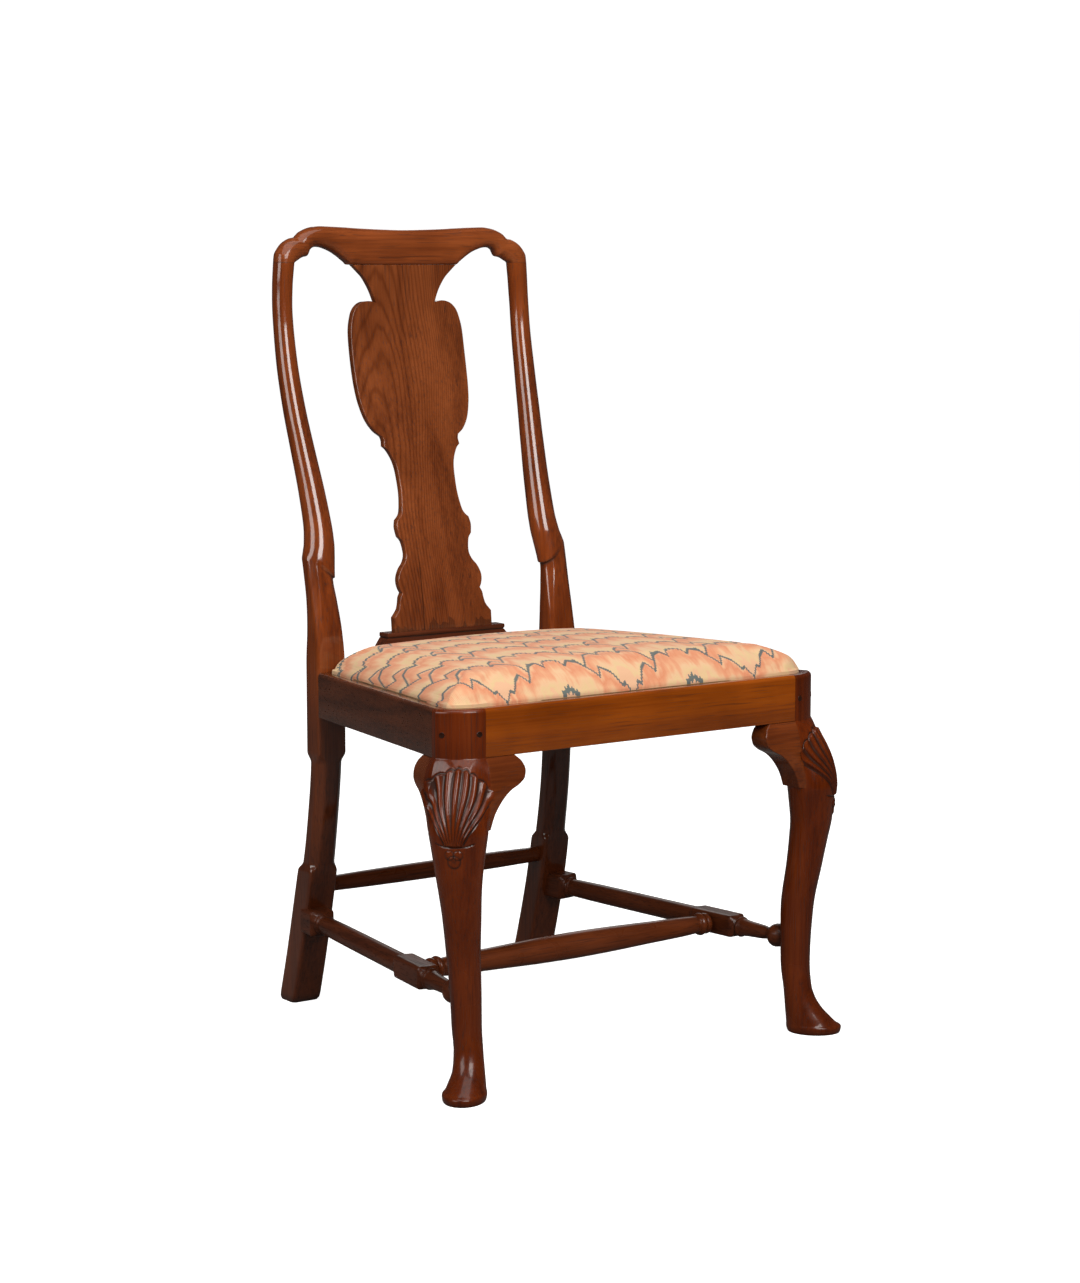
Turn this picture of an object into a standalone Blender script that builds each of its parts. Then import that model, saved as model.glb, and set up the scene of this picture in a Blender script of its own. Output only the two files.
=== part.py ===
"""Queen Anne side chair with a slip seat, modelled in metres, +Z up, front towards -Y.

The frame is joined with mortises, tenons and pegs. The slip seat is a loose frame that drops into a
rebate round the seat rails. Lengths run back from the front face of the front rail while the pieces are
made; at the end the whole chair is moved so that its origin lies on the floor under its middle.
"""
import math

import bmesh
import bpy
import numpy as np

# Fits between pieces
GAP = 0.0003
SLIP_CLEARANCE = 0.0012

# Seat frame
SEAT_HEIGHT = 0.452
SEAT_DROP = 0.0113
SEAT_DEPTH = 0.4205
FRONT_RAIL_LENGTH = 0.458
BACK_WIDTH = 0.401
RAIL_DEPTH = 0.057
RAIL_THICKNESS = 0.030
RAIL_EDGE_ROUND = 0.005
CORNER_RADIUS = 0.054
CORNER_SWEEP = math.radians(64)
LIP_WIDTH = 0.014
LEDGE_DROP = 0.014
TENON_THICKNESS = 0.009
TENON_HEIGHT = 0.034
TENON_LENGTH = 0.019
SIDE_TENON_LENGTH = 0.013
SIDE_TENON_INSET = 0.018
PEG_DIAMETER = 0.007
PEG_LENGTH = 0.018
PEG_PROUD = 0.0006
PEG_SETBACK = 0.008
PEG_RISE = 0.0062
CORNER_BLOCK_SIDE = 0.045
CORNER_BLOCK_HEIGHT = 0.028

# Rear rail
REAR_RAIL_THICKNESS = 0.045
REAR_LEDGE = 0.012
REAR_TENON_LENGTH = 0.013

# Rear posts, leg and back stile in one piece
POST_WIDTH = 0.041
POST_DEPTH = 0.032
POST_TOP_DIAMETER = 0.0274
POST_TOP_SPREAD = 0.1795
SEAT_BLOCK_DROP = 0.044
REAR_RAKE = 0.068
RAKE_POWER = 1.6
BACK_LEAN = 0.095

# Crest rail, splat and shoe
BACK_HEIGHT = 1.000
CREST_RISE = 0.047
CREST_DROP = 0.0025
CREST_DEPTH = 0.026
CREST_TENON_DIAMETER = 0.012
CREST_TENON_LENGTH = 0.013
SPLAT_HALF_WIDTH = 0.087
SPLAT_THICKNESS = 0.0095
SPLAT_TENON_WIDTH = 0.090
SPLAT_TENON_LENGTH = 0.009
SHOE_RISE = 0.0378
SHOE_HALF_LENGTH = 0.0904
SHOE_FLARE = 0.022
SHOE_DEPTH = 0.022
SHOE_FORWARD = 0.009
SHOE_FILLET = 0.005
SHOE_SOCKET = 0.012

# Front legs and knee brackets
KNEE_DROP = 0.085
KNEE_PROUD = 0.0115
KNEE_EASE = 1.9
LEG_ANKLE = (0.0175, 0.0151)
BRACKET_LENGTH = 0.0535
SIDE_BRACKET_LENGTH = 0.060
BRACKET_HEIGHT = 0.082
BRACKET_THICKNESS = 0.022

# Stretchers
SIDE_STRETCHER_HEIGHT = 0.1155
REAR_STRETCHER_HEIGHT = 0.158
STRETCHER_BLOCK = 0.028
STRETCHER_BLOCK_LENGTH = 0.066
STRETCHER_REAR_BLOCK = 0.033
STRETCHER_RADIUS = 0.0125
REAR_STRETCHER_RADIUS = 0.0115
CROSS_STRETCHER_SETBACK = 0.150
CROSS_STRETCHER_RADIUS = 0.0165
STRETCHER_TENON_RADIUS = 0.007
STRETCHER_TENON_LENGTH = 0.014
STRETCHER_REAR_OFFSET = 0.010

# Slip seat
SLIP_RAIL_WIDTH = 0.046
SLIP_RAIL_THICKNESS = 0.014
WEB_WIDTH = 0.050
WEB_SPACING = 0.105
WEB_THICKNESS = 0.0014
WEB_WEAVE = 0.0011
BASE_CLOTH_THICKNESS = 0.0010
COVER_THICKNESS = 0.0015
CROWN_HEIGHT = 0.032
CROWN_EDGE = 0.004
PAD_DRAW_IN = 0.003
SLIP_CORNER_RADIUS = 0.012

# Worked out from the sizes above
STILE_X = FRONT_RAIL_LENGTH / 2
CORNER_X = STILE_X + CORNER_RADIUS * math.sin(CORNER_SWEEP)
CORNER_Y = CORNER_RADIUS * (1 - math.cos(CORNER_SWEEP))
POST_X = BACK_WIDTH / 2 - POST_WIDTH / 2
POST_Y = SEAT_DEPTH + POST_DEPTH / 2
SIDE_RUN = math.hypot(CORNER_X - BACK_WIDTH / 2, SEAT_DEPTH - CORNER_Y)
ALONG = np.array([(BACK_WIDTH / 2 - CORNER_X) / SIDE_RUN, (SEAT_DEPTH - CORNER_Y) / SIDE_RUN])
OUTWARD = np.array([ALONG[1], -ALONG[0]])
CREST_JOINT = BACK_HEIGHT - CREST_RISE
SEAT_BACK_HEIGHT = SEAT_HEIGHT - SEAT_DROP
BLOCK_BOTTOM = SEAT_BACK_HEIGHT - RAIL_DEPTH - SEAT_BLOCK_DROP
SHOE_TOP = SEAT_BACK_HEIGHT + SHOE_RISE
SPLAT_TOP = CREST_JOINT - CREST_DROP
RAIL_BOTTOM = SEAT_HEIGHT - RAIL_DEPTH
KNEE_HEIGHT = RAIL_BOTTOM - KNEE_DROP
LEDGE_HEIGHT = SEAT_HEIGHT - LEDGE_DROP
REAR_RAIL_BACK = POST_Y + POST_DEPTH / 2 - 0.002
REAR_RAIL_FRONT = REAR_RAIL_BACK - REAR_RAIL_THICKNESS
WELL_BACK = REAR_RAIL_FRONT + REAR_LEDGE


def clear_scene():
    """Removes every object, so that the chair is built in an empty file."""
    for item in list(bpy.data.objects):
        bpy.data.objects.remove(item, do_unlink=True)


def wood(name, colour, roughness=0.35):
    """A plain Principled material of one colour."""
    finish = bpy.data.materials.new(name)
    finish.use_nodes = True
    shader = finish.node_tree.nodes["Principled BSDF"]
    shader.inputs["Base Color"].default_value = (*colour, 1.0)
    shader.inputs["Roughness"].default_value = roughness
    shader.inputs["Metallic"].default_value = 0.0
    return finish


def add_object(name, bm, finish, smooth_angle=math.radians(35)):
    """Makes one object of a bmesh, with its faces turned out."""
    bmesh.ops.recalc_face_normals(bm, faces=bm.faces)
    mesh = bpy.data.meshes.new(name)
    bm.to_mesh(mesh)
    bm.free()
    mesh.materials.append(finish)
    mesh.shade_smooth()
    mesh.set_sharp_from_angle(angle=smooth_angle)
    item = bpy.data.objects.new(name, mesh)
    bpy.context.collection.objects.link(item)
    item.parent = ROOT
    return item


def loft(rings):
    """Skins a run of closed rings of equal count with triangles, with a flat face on each end."""
    bm = bmesh.new()
    rows = [[bm.verts.new(point) for point in ring] for ring in rings]
    count = len(rows[0])
    for low, high in zip(rows, rows[1:]):
        for i in range(count):
            j = (i + 1) % count
            bm.faces.new((low[i], low[j], high[j]))
            bm.faces.new((low[i], high[j], high[i]))
    bm.faces.new(rows[0][::-1])
    bm.faces.new(rows[-1])
    return bm


def prism(outline, low, high):
    """A flat outline in X and Y carried from height low to height high."""
    return loft([[(x, y, z) for x, y in outline] for z in (low, high)])


def tilt(bm):
    """Lowers each point with its distance behind the front rail, so that the seat falls to the back."""
    for vertex in bm.verts:
        vertex.co.z -= SEAT_DROP * vertex.co.y / SEAT_DEPTH
    return bm


def mirrored(bm, side):
    """Turns a right-hand shape into a left-hand one where side is -1."""
    for vertex in bm.verts:
        vertex.co.x *= side
    return bm


def change(item, tool_bm, operation):
    """Joins a shape to an object, or cuts it away, with a Boolean on a hidden tool object."""
    tool = add_object(item.name + "_tool", tool_bm, item.data.materials[0])
    tool.hide_render = True
    tool.display_type = "WIRE"
    tool.hide_set(True)
    step = item.modifiers.new(operation.lower(), "BOOLEAN")
    step.operation = operation
    step.object = tool
    step.solver = "EXACT"


def cut(item, tool_bm):
    """Cuts a shape out of an object."""
    change(item, tool_bm, "DIFFERENCE")


def join(item, tool_bm):
    """Adds a shape to an object."""
    change(item, tool_bm, "UNION")


def superellipse(count, half_x, half_y, squareness):
    """Points round an oval whose corners fill out as squareness grows from 2."""
    turn = (np.arange(count) + 0.5) * 2 * math.pi / count
    power = 2.0 / squareness
    x = half_x * np.sign(np.cos(turn)) * np.abs(np.cos(turn)) ** power
    y = half_y * np.sign(np.sin(turn)) * np.abs(np.sin(turn)) ** power
    return np.stack([x, y], axis=1)


def smooth_step(t):
    """Rises from 0 to 1 with level ends."""
    t = np.clip(t, 0.0, 1.0)
    return t * t * (3 - 2 * t)


def smooth_curve(points, steps):
    """A Catmull-Rom curve through points, with steps pieces between each pair."""
    knots = np.array(points, dtype=float)
    padded = np.vstack([2 * knots[0] - knots[1], knots, 2 * knots[-1] - knots[-2]])
    out = []
    for i in range(len(knots) - 1):
        a, b, c, d = padded[i:i + 4]
        for k in range(steps):
            t = k / steps
            out.append(0.5 * (2 * b + (c - a) * t + (2 * a - 5 * b + 4 * c - d) * t ** 2
                              + (3 * b - a - 3 * c + d) * t ** 3))
    out.append(knots[-1])
    return np.array(out)


def between(rows, fraction):
    """Values of a table of stations at a fraction given in its first column, eased smoothly."""
    table = np.array(rows, dtype=float)
    return np.array([np.interp(fraction, table[:, 0], table[:, k]) for k in range(1, table.shape[1])])


def seat_level(y):
    """Height of the top of the seat rails at a distance behind the front."""
    return SEAT_HEIGHT - SEAT_DROP * y / SEAT_DEPTH


def bar(start, direction, length, thickness, low, high):
    """An upright slab that runs from a plan point along a plan direction."""
    start = np.array(start)
    direction = np.array(direction) / np.hypot(*direction)
    across = np.array([-direction[1], direction[0]]) * thickness / 2
    end = start + direction * length
    return prism([start - across, end - across, end + across, start + across], low, high)


def turned(start, end, stations, count):
    """A turned or squared bar between two points; stations hold distance, half size and squareness."""
    start = np.array(start)
    axis = np.array(end) - start
    axis = axis / np.linalg.norm(axis)
    side = np.cross(axis, (0, 0, 1))
    side = side / np.linalg.norm(side)
    up = np.cross(side, axis)
    rings = []
    for distance, half, squareness in stations:
        flat = superellipse(count, half, half, squareness)
        centre = start + axis * distance
        rings.append(centre + np.outer(flat[:, 0], side) + np.outer(flat[:, 1], up))
    return loft(rings)


def peg_bar(start, direction, length, diameter, height, sides=10):
    """A short round bar that lies level at a height."""
    start = np.array([start[0], start[1], height])
    end = start + np.array([direction[0], direction[1], 0.0])
    ends = [(0.0, diameter / 2, 2), (length, diameter / 2, 2)]
    return turned(start, end, ends, sides)


# Rear posts: height as a share of the leg below the seat block, or of the back above the seat, then the
# shift of the centre outwards, the width, the depth and the squareness of the section.
LEG_PART = [
    (0.000, 0.0040, 0.0400, 0.0350, 7),
    (0.030, 0.0040, 0.0410, 0.0385, 10),
    (0.300, 0.0040, 0.0410, 0.0370, 10),
    (0.530, 0.0030, 0.0410, 0.0350, 10),
    (0.560, 0.0020, 0.0376, 0.0330, 2.6),
    (0.740, 0.0013, 0.0372, 0.0330, 2.6),
    (0.955, 0.0000, 0.0370, 0.0320, 2.6),
    (1.000, 0.0000, POST_WIDTH, POST_DEPTH, 10),
]
BACK_PART = [
    (0.018, 0.0000, POST_WIDTH, POST_DEPTH, 10),
    (0.096, -0.0003, 0.0395, 0.0315, 4),
    (0.174, 0.0007, 0.0368, 0.0298, 2.6),
    (0.220, 0.0018, 0.0360, 0.0292, 2.4),
    (0.231, 0.0000, 0.0395, 0.0320, 2.3),
    (0.284, -0.0025, 0.0425, 0.0360, 2.1),
    (0.311, -0.0052, 0.0395, 0.0370, 2),
    (0.356, -0.0069, 0.0363, 0.0363, 2),
    (0.428, -0.0060, 0.0341, 0.0341, 2),
    (0.539, -0.0025, 0.0313, 0.0313, 2),
    (0.643, 0.0010, 0.0293, 0.0293, 2),
    (0.760, 0.0030, 0.0272, 0.0272, 2),
    (0.871, 0.0032, 0.0258, 0.0258, 2),
    (0.945, 0.0018, 0.0264, 0.0264, 2),
]
LEAN_START = 0.018
LEAN_END = 0.955
POST_SIDES = 14


def back_plane(height):
    """Distance behind the front rail of the middle of the back at a height: a level-ended S curve."""
    share = (height - SEAT_BACK_HEIGHT) / (CREST_JOINT - SEAT_BACK_HEIGHT)
    return POST_Y + BACK_LEAN * smooth_step((share - LEAN_START) / (LEAN_END - LEAN_START))


def rake(height):
    """Distance behind the front rail of the middle of a rear leg, which sweeps back to the floor."""
    share = np.clip((BLOCK_BOTTOM - height) / BLOCK_BOTTOM, 0.0, 1.0)
    return POST_Y + REAR_RAKE * share ** RAKE_POWER


def rear_leg_at(height):
    """Centre, width and depth of a rear leg at a height below the seat."""
    shift, width, depth, _ = between(LEG_PART, height / BLOCK_BOTTOM)
    return POST_X + shift, rake(height), width, depth


def rear_post_rings(grow):
    """Sections of the right rear post from the floor to the crest, swelled by grow."""
    rings = []
    for share, shift, width, depth, squareness in LEG_PART:
        z = share * BLOCK_BOTTOM
        flat = superellipse(POST_SIDES, width / 2 + grow, depth / 2 + grow, squareness)
        rings.append([(POST_X + shift + x, rake(z) + y, z) for x, y in flat])
    back_rise = CREST_JOINT - SEAT_BACK_HEIGHT
    top = (1.0, POST_TOP_SPREAD - POST_X, POST_TOP_DIAMETER, POST_TOP_DIAMETER, 2)
    for share, shift, width, depth, squareness in BACK_PART + [top]:
        z = SEAT_BACK_HEIGHT + share * back_rise
        flat = superellipse(POST_SIDES, width / 2 + grow, depth / 2 + grow, squareness)
        rings.append([(POST_X + shift + x, back_plane(z) + y, z) for x, y in flat])
    return rings


def rear_post(side, finish):
    """One rear leg and back stile: a run of sections up an S-shaped line, with its mortises and tenon."""
    name = ("left" if side < 0 else "right") + "_rear_post"
    post = add_object(name, mirrored(loft(rear_post_rings(0.0)), side), finish)
    tenon_foot = (POST_TOP_SPREAD, back_plane(CREST_JOINT), CREST_JOINT - 0.006)
    tenon_tip = (POST_TOP_SPREAD, back_plane(CREST_JOINT) + 1e-6, CREST_JOINT + 1.0)
    ends = [(0, CREST_TENON_DIAMETER / 2, 2), (CREST_TENON_LENGTH + 0.006, CREST_TENON_DIAMETER / 2, 2)]
    join(post, mirrored(turned(tenon_foot, tenon_tip, ends, 10), side))
    cut(post, mirrored(side_tenon_rear(2 * GAP), side))
    cut(post, mirrored(rear_rail_tenon(2 * GAP), side))
    cut(post, mirrored(rear_stretcher_tenon(GAP), side))
    cut(post, mirrored(side_stretcher_tenon_rear(GAP), side))


# Crest rail: stations from the ear to the middle, each with the outer and the inner edge of the section.
# Across, they are shares of the spread of the posts; up, heights above the joint with the posts.
CREST_EDGES = [
    (1.070, 0.0100, 0.9165, 0.0015),
    (1.042, 0.0190, 0.9000, 0.0035),
    (1.003, 0.0260, 0.8800, 0.0045),
    (0.947, 0.0310, 0.8500, 0.0055),
    (0.908, 0.0325, 0.8250, 0.0075),
    (0.864, 0.0390, 0.7970, 0.0115),
    (0.791, 0.0445, 0.7520, 0.0170),
    (0.696, 0.0470, 0.6960, 0.0202),
    (0.600, 0.0465, 0.6250, 0.0160),
    (0.500, 0.0457, 0.5400, 0.0080),
    (0.380, 0.0445, 0.4480, -0.0025),
    (0.190, 0.0432, 0.2200, -0.0025),
    (0.000, 0.0425, 0.0000, -0.0025),
]
CREST_SIDES = 14


def crest_rail(finish):
    """The yoke: oval sections strung between an upper and a lower edge, from ear to ear."""
    half = POST_TOP_DIAMETER / 2
    stations = [(POST_TOP_SPREAD + half, 0.0, POST_TOP_SPREAD - half, 0.0)]
    for outer_x, outer_z, inner_x, inner_z in CREST_EDGES:
        stations.append((outer_x * POST_TOP_SPREAD, outer_z, inner_x * POST_TOP_SPREAD, inner_z))
    right = [(np.array((ox, oz)), np.array((ix, iz))) for ox, oz, ix, iz in stations]
    left = [(outer * (-1, 1), inner * (-1, 1)) for outer, inner in reversed(right[:-1])]
    rings = []
    for outer, inner in right + left:
        middle = (outer + inner) / 2
        reach = (outer - inner) / 2
        ear = abs(middle[0]) / POST_TOP_SPREAD
        depth = (CREST_DEPTH + (POST_TOP_DIAMETER - CREST_DEPTH) * ear ** 4) / 2
        flat = superellipse(CREST_SIDES, 1.0, depth, 2.0 + 1.2 * (1 - ear))
        base = back_plane(CREST_JOINT) + 0.004 * (1 - ear ** 4)
        rings.append([(middle[0] + reach[0] * u, base + v, CREST_JOINT + GAP + middle[1] + reach[1] * u)
                      for u, v in flat])
    crest = add_object("crest_rail", loft(rings), finish)
    for side in (-1, 1):
        foot = (POST_TOP_SPREAD, back_plane(CREST_JOINT), CREST_JOINT - 0.01)
        tip = (POST_TOP_SPREAD, back_plane(CREST_JOINT) + 1e-6, CREST_JOINT + 1.0)
        radius = CREST_TENON_DIAMETER / 2 + GAP
        socket = [(0, radius, 2), (CREST_TENON_LENGTH + 0.01 + 2 * GAP, radius, 2)]
        cut(crest, mirrored(turned(foot, tip, socket, 10), side))
    cut(crest, splat_tenon(2 * GAP))
    flat_cut = SPLAT_TOP + GAP
    reach = 0.5 * POST_TOP_SPREAD
    middle = back_plane(CREST_JOINT)
    outline = plan_box(reach, middle - CREST_DEPTH, middle + CREST_DEPTH)
    cut(crest, prism(outline, flat_cut - CREST_DEPTH, flat_cut))


# Splat outline, right half, from the crest down: smooth runs that meet at sharp points. Across, shares of
# the half width; up, shares of the height between the shoe and the crest.
SPLAT_RUNS = [
    [(0.920, 1.000), (0.817, 0.983), (0.709, 0.963), (0.598, 0.930), (0.520, 0.894)],
    [(0.520, 0.894), (0.580, 0.899), (0.690, 0.901), (0.810, 0.894), (0.900, 0.878), (0.950, 0.856),
     (0.990, 0.820), (1.000, 0.762), (0.998, 0.700), (0.985, 0.655), (0.955, 0.617), (0.890, 0.577),
     (0.790, 0.548), (0.676, 0.531)],
    [(0.676, 0.531), (0.662, 0.520), (0.671, 0.505)],
    [(0.671, 0.505), (0.610, 0.494), (0.545, 0.471), (0.510, 0.447), (0.497, 0.414), (0.499, 0.374),
     (0.532, 0.334), (0.570, 0.317), (0.638, 0.305)],
    [(0.638, 0.305), (0.660, 0.285), (0.643, 0.261)],
    [(0.643, 0.261), (0.585, 0.246), (0.559, 0.213), (0.600, 0.191), (0.680, 0.173), (0.732, 0.153),
     (0.742, 0.136), (0.722, 0.120), (0.693, 0.110)],
    [(0.693, 0.110), (0.730, 0.097), (0.748, 0.080), (0.775, 0.065), (0.820, 0.054), (0.866, 0.044)],
    [(0.866, 0.044), (0.866, 0.000)],
]
SPLAT_CURVE_STEPS = 2
SPLAT_BENDS = 18


def splat_half_outline():
    """The right edge of the splat from top to bottom, in metres across and up."""
    rise = SPLAT_TOP - SHOE_TOP
    points = []
    for run in SPLAT_RUNS:
        steps = SPLAT_CURVE_STEPS if len(run) > 2 else 1
        curve = smooth_curve(run, steps)
        points.extend(curve if not points else curve[1:])
    return [(x * SPLAT_HALF_WIDTH, SHOE_TOP + z * rise) for x, z in points]


def slab(outline, levels, front, back):
    """A flat outline of across and height values, cut level by level and bent: front and back give the
    distance of each face at a height. It is also cut along the upright line across = 0."""
    bm = bmesh.new()
    bm.faces.new([bm.verts.new((x, 0.0, z)) for x, z in outline])
    geometry = bm.verts[:] + bm.edges[:] + bm.faces[:]
    bmesh.ops.bisect_plane(bm, geom=geometry, plane_co=(0, 0, 0), plane_no=(1, 0, 0))
    for level in levels:
        geometry = bm.verts[:] + bm.edges[:] + bm.faces[:]
        bmesh.ops.bisect_plane(bm, geom=geometry, plane_co=(0, 0, level), plane_no=(0, 0, 1))
    bmesh.ops.triangulate(bm, faces=bm.faces)
    near = bm.verts[:]
    grown = bmesh.ops.extrude_face_region(bm, geom=bm.faces[:])
    far = [item for item in grown["geom"] if isinstance(item, bmesh.types.BMVert)]
    for vertex in near:
        vertex.co.y = front(vertex.co.z)
    for vertex in far:
        vertex.co.y = back(vertex.co.z)
    return bm


def plan_box(half, near, far):
    """Plan of a level block that is centred across the chair."""
    return [(-half, near), (half, near), (half, far), (-half, far)]


def splat_tenon(grow):
    """The tongue on top of the splat, or the slot for it in the crest when grown."""
    middle = back_plane(SPLAT_TOP)
    half = SPLAT_TENON_WIDTH / 2 + grow
    thick = SPLAT_THICKNESS * 0.3 + grow
    outline = plan_box(half, middle - thick, middle + thick)
    return prism(outline, SPLAT_TOP - 0.006, SPLAT_TOP + SPLAT_TENON_LENGTH + grow)


def splat_foot(grow):
    """The straight foot of the splat inside the shoe, or the socket for it when grown."""
    middle = back_plane(SHOE_TOP)
    half = SPLAT_RUNS[-1][0][0] * SPLAT_HALF_WIDTH - 0.004 + grow
    thick = SPLAT_THICKNESS / 2 - 0.0005 + grow
    outline = plan_box(half, middle - thick, middle + thick)
    return prism(outline, SHOE_TOP - SHOE_SOCKET - grow, SHOE_TOP + 0.006)


def splat(finish):
    """The vase-shaped board of the back, bent to the line of the posts."""
    right = splat_half_outline()
    outline = right + [(-x, z) for x, z in reversed(right)]
    low = SHOE_TOP + GAP
    high = SPLAT_TOP
    outline = [(x, min(max(z, low), high)) for x, z in outline]
    levels = np.linspace(low, high, SPLAT_BENDS)[1:-1]
    board = slab(outline, levels, lambda z: back_plane(z) - SPLAT_THICKNESS / 2,
                 lambda z: back_plane(z) + SPLAT_THICKNESS / 2)
    item = add_object("splat", board, finish)
    join(item, splat_tenon(0.0))
    join(item, splat_foot(0.0))


def splat_shoe(finish):
    """The moulded shoe on the rear rail that holds the foot of the splat: a cove under a thin fillet."""
    middle = back_plane(SHOE_TOP)
    base = SEAT_BACK_HEIGHT + GAP
    rise = SHOE_TOP - base
    rings = []
    cove = [(0.0, 1.00), (0.16, 1.00), (0.38, 0.60), (0.62, 0.30), (1.0 - SHOE_FILLET / rise, 0.12)]
    for share, flare in cove:
        half = SHOE_HALF_LENGTH - 0.003 + SHOE_FLARE * flare
        front = middle - SHOE_DEPTH / 2 + 0.002 - SHOE_FORWARD * flare
        back = middle + SHOE_DEPTH / 2 - 0.002
        z = base + share * rise
        rings.append([(-half, front, z), (half, front, z), (half, back, z), (-half, back, z)])
    for z in (SHOE_TOP - SHOE_FILLET + 0.0005, SHOE_TOP):
        half = SHOE_HALF_LENGTH
        front = middle - SHOE_DEPTH / 2
        back = middle + SHOE_DEPTH / 2 - 0.002
        rings.append([(-half, front, z), (half, front, z), (half, back, z), (-half, back, z)])
    shoe = add_object("splat_shoe", loft(rings), finish)
    cut(shoe, splat_foot(GAP))


def seat_well(inset, low, high):
    """The space inside the lip of the rails, drawn in by inset, as a prism in the tilted seat."""
    radius = CORNER_RADIUS - LIP_WIDTH - inset
    offset = OUTWARD @ np.array([CORNER_X, CORNER_Y]) - LIP_WIDTH - inset
    centre = np.array([STILE_X, CORNER_RADIUS])
    last = math.asin((offset - OUTWARD @ centre) / radius) + math.atan2(OUTWARD[1], OUTWARD[0])
    angles = np.linspace(0.0, last, 6)
    right = [centre + radius * np.array([math.sin(a), -math.cos(a)]) for a in angles]
    back = WELL_BACK - inset
    corner = np.array([(offset - OUTWARD[1] * back) / OUTWARD[0], back])
    round_off = SLIP_CORNER_RADIUS
    right.append(corner - ALONG * round_off)
    right.append(corner - ALONG * round_off * 0.3 + np.array([-round_off * 0.3, 0.0]))
    right.append(corner + np.array([-round_off, 0.0]))
    left = [point * (-1, 1) for point in reversed(right)]
    return [tuple(point) for point in right + left], low, high


def well_cutter():
    """The rebate for the slip seat, open at the top."""
    return tilt(prism(*seat_well(0.0, LEDGE_HEIGHT, SEAT_HEIGHT + RAIL_DEPTH)))


def side_point(distance, inward, y_plane=None):
    """A plan point on the right side rail: along it from the stile and in from its outer face. With
    y_plane, the point where that line meets the plane at this distance behind the front."""
    corner = np.array([CORNER_X, CORNER_Y]) - OUTWARD * inward
    if y_plane is None:
        return corner + ALONG * distance
    return corner + ALONG * (y_plane - corner[1]) / ALONG[1]


def tenon_levels(grow):
    """Lowest and highest point of a seat rail tenon before the seat is tilted."""
    middle = RAIL_BOTTOM + (LEDGE_HEIGHT - RAIL_BOTTOM) / 2
    return middle - TENON_HEIGHT / 2 - grow, middle + TENON_HEIGHT / 2 + grow


def front_rail_tenon(grow):
    """Right tenon of the front rail, or its mortise when grown."""
    start = (STILE_X - 0.006, RAIL_THICKNESS / 2)
    length = TENON_LENGTH + 0.006 + grow
    return tilt(bar(start, (1, 0), length, TENON_THICKNESS + 2 * grow, *tenon_levels(grow)))


def side_tenon_front(grow):
    """Front tenon of the right side rail, or its mortise when grown."""
    start = side_point(0, SIDE_TENON_INSET, CORNER_Y + 0.006)
    length = SIDE_TENON_LENGTH + 0.006 + grow
    return tilt(bar(start, -ALONG, length, TENON_THICKNESS + 2 * grow, *tenon_levels(grow)))


def side_tenon_rear(grow):
    """Rear tenon of the right side rail, or its mortise when grown."""
    start = side_point(0, SIDE_TENON_INSET, SEAT_DEPTH - 0.006)
    length = SIDE_TENON_LENGTH + 0.006 + grow
    return tilt(bar(start, ALONG, length, TENON_THICKNESS + 2 * grow, *tenon_levels(grow)))


def rear_rail_tenon(grow):
    """Right tenon of the rear rail, or its mortise when grown."""
    start = (POST_X - POST_WIDTH / 2 - 0.006, REAR_RAIL_BACK - TENON_THICKNESS)
    length = REAR_TENON_LENGTH + 0.006 + grow
    return tilt(bar(start, (1, 0), length, TENON_THICKNESS + 2 * grow, *tenon_levels(grow)))


def front_peg_start():
    """Plan point on the stile where the front rail's peg shows."""
    swing = math.asin(PEG_SETBACK / CORNER_RADIUS)
    return np.array([STILE_X + PEG_SETBACK, CORNER_RADIUS * (1 - math.cos(swing))])


def side_peg_start():
    """Plan point on the stile where the side rail's peg shows."""
    swing = CORNER_SWEEP - PEG_SETBACK / CORNER_RADIUS
    return np.array([STILE_X + CORNER_RADIUS * math.sin(swing), CORNER_RADIUS * (1 - math.cos(swing))])


def rail_peg(which, grow):
    """A wooden peg through the stile and a tenon, or its hole when grown."""
    low, high = tenon_levels(0.0)
    direction = np.array([0.0, 1.0]) if which == "front" else -OUTWARD
    start = front_peg_start() if which == "front" else side_peg_start()
    lead = PEG_PROUD + grow * 20
    level = (low + high) / 2 + PEG_RISE - SEAT_DROP * start[1] / SEAT_DEPTH
    length = PEG_LENGTH + lead + grow
    return peg_bar(start - direction * lead, direction, length, PEG_DIAMETER + 2 * grow, level)


def lip_rail(outline_front, outline_back):
    """A rail whose outer top edge is rounded over: rings of a section carried between its two ends."""
    steps = [(0.0, RAIL_BOTTOM), (0.0, SEAT_HEIGHT - RAIL_EDGE_ROUND)]
    for turn in (30, 60, 90):
        a = math.radians(turn)
        drop = RAIL_EDGE_ROUND * (1 - math.sin(a))
        steps.append((RAIL_EDGE_ROUND * (1 - math.cos(a)), SEAT_HEIGHT - drop))
    section = steps + [(RAIL_THICKNESS, SEAT_HEIGHT), (RAIL_THICKNESS, RAIL_BOTTOM)]
    ends = []
    for place in (outline_front, outline_back):
        ends.append([(*place(inward), z) for inward, z in section])
    return tilt(loft(ends))


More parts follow.
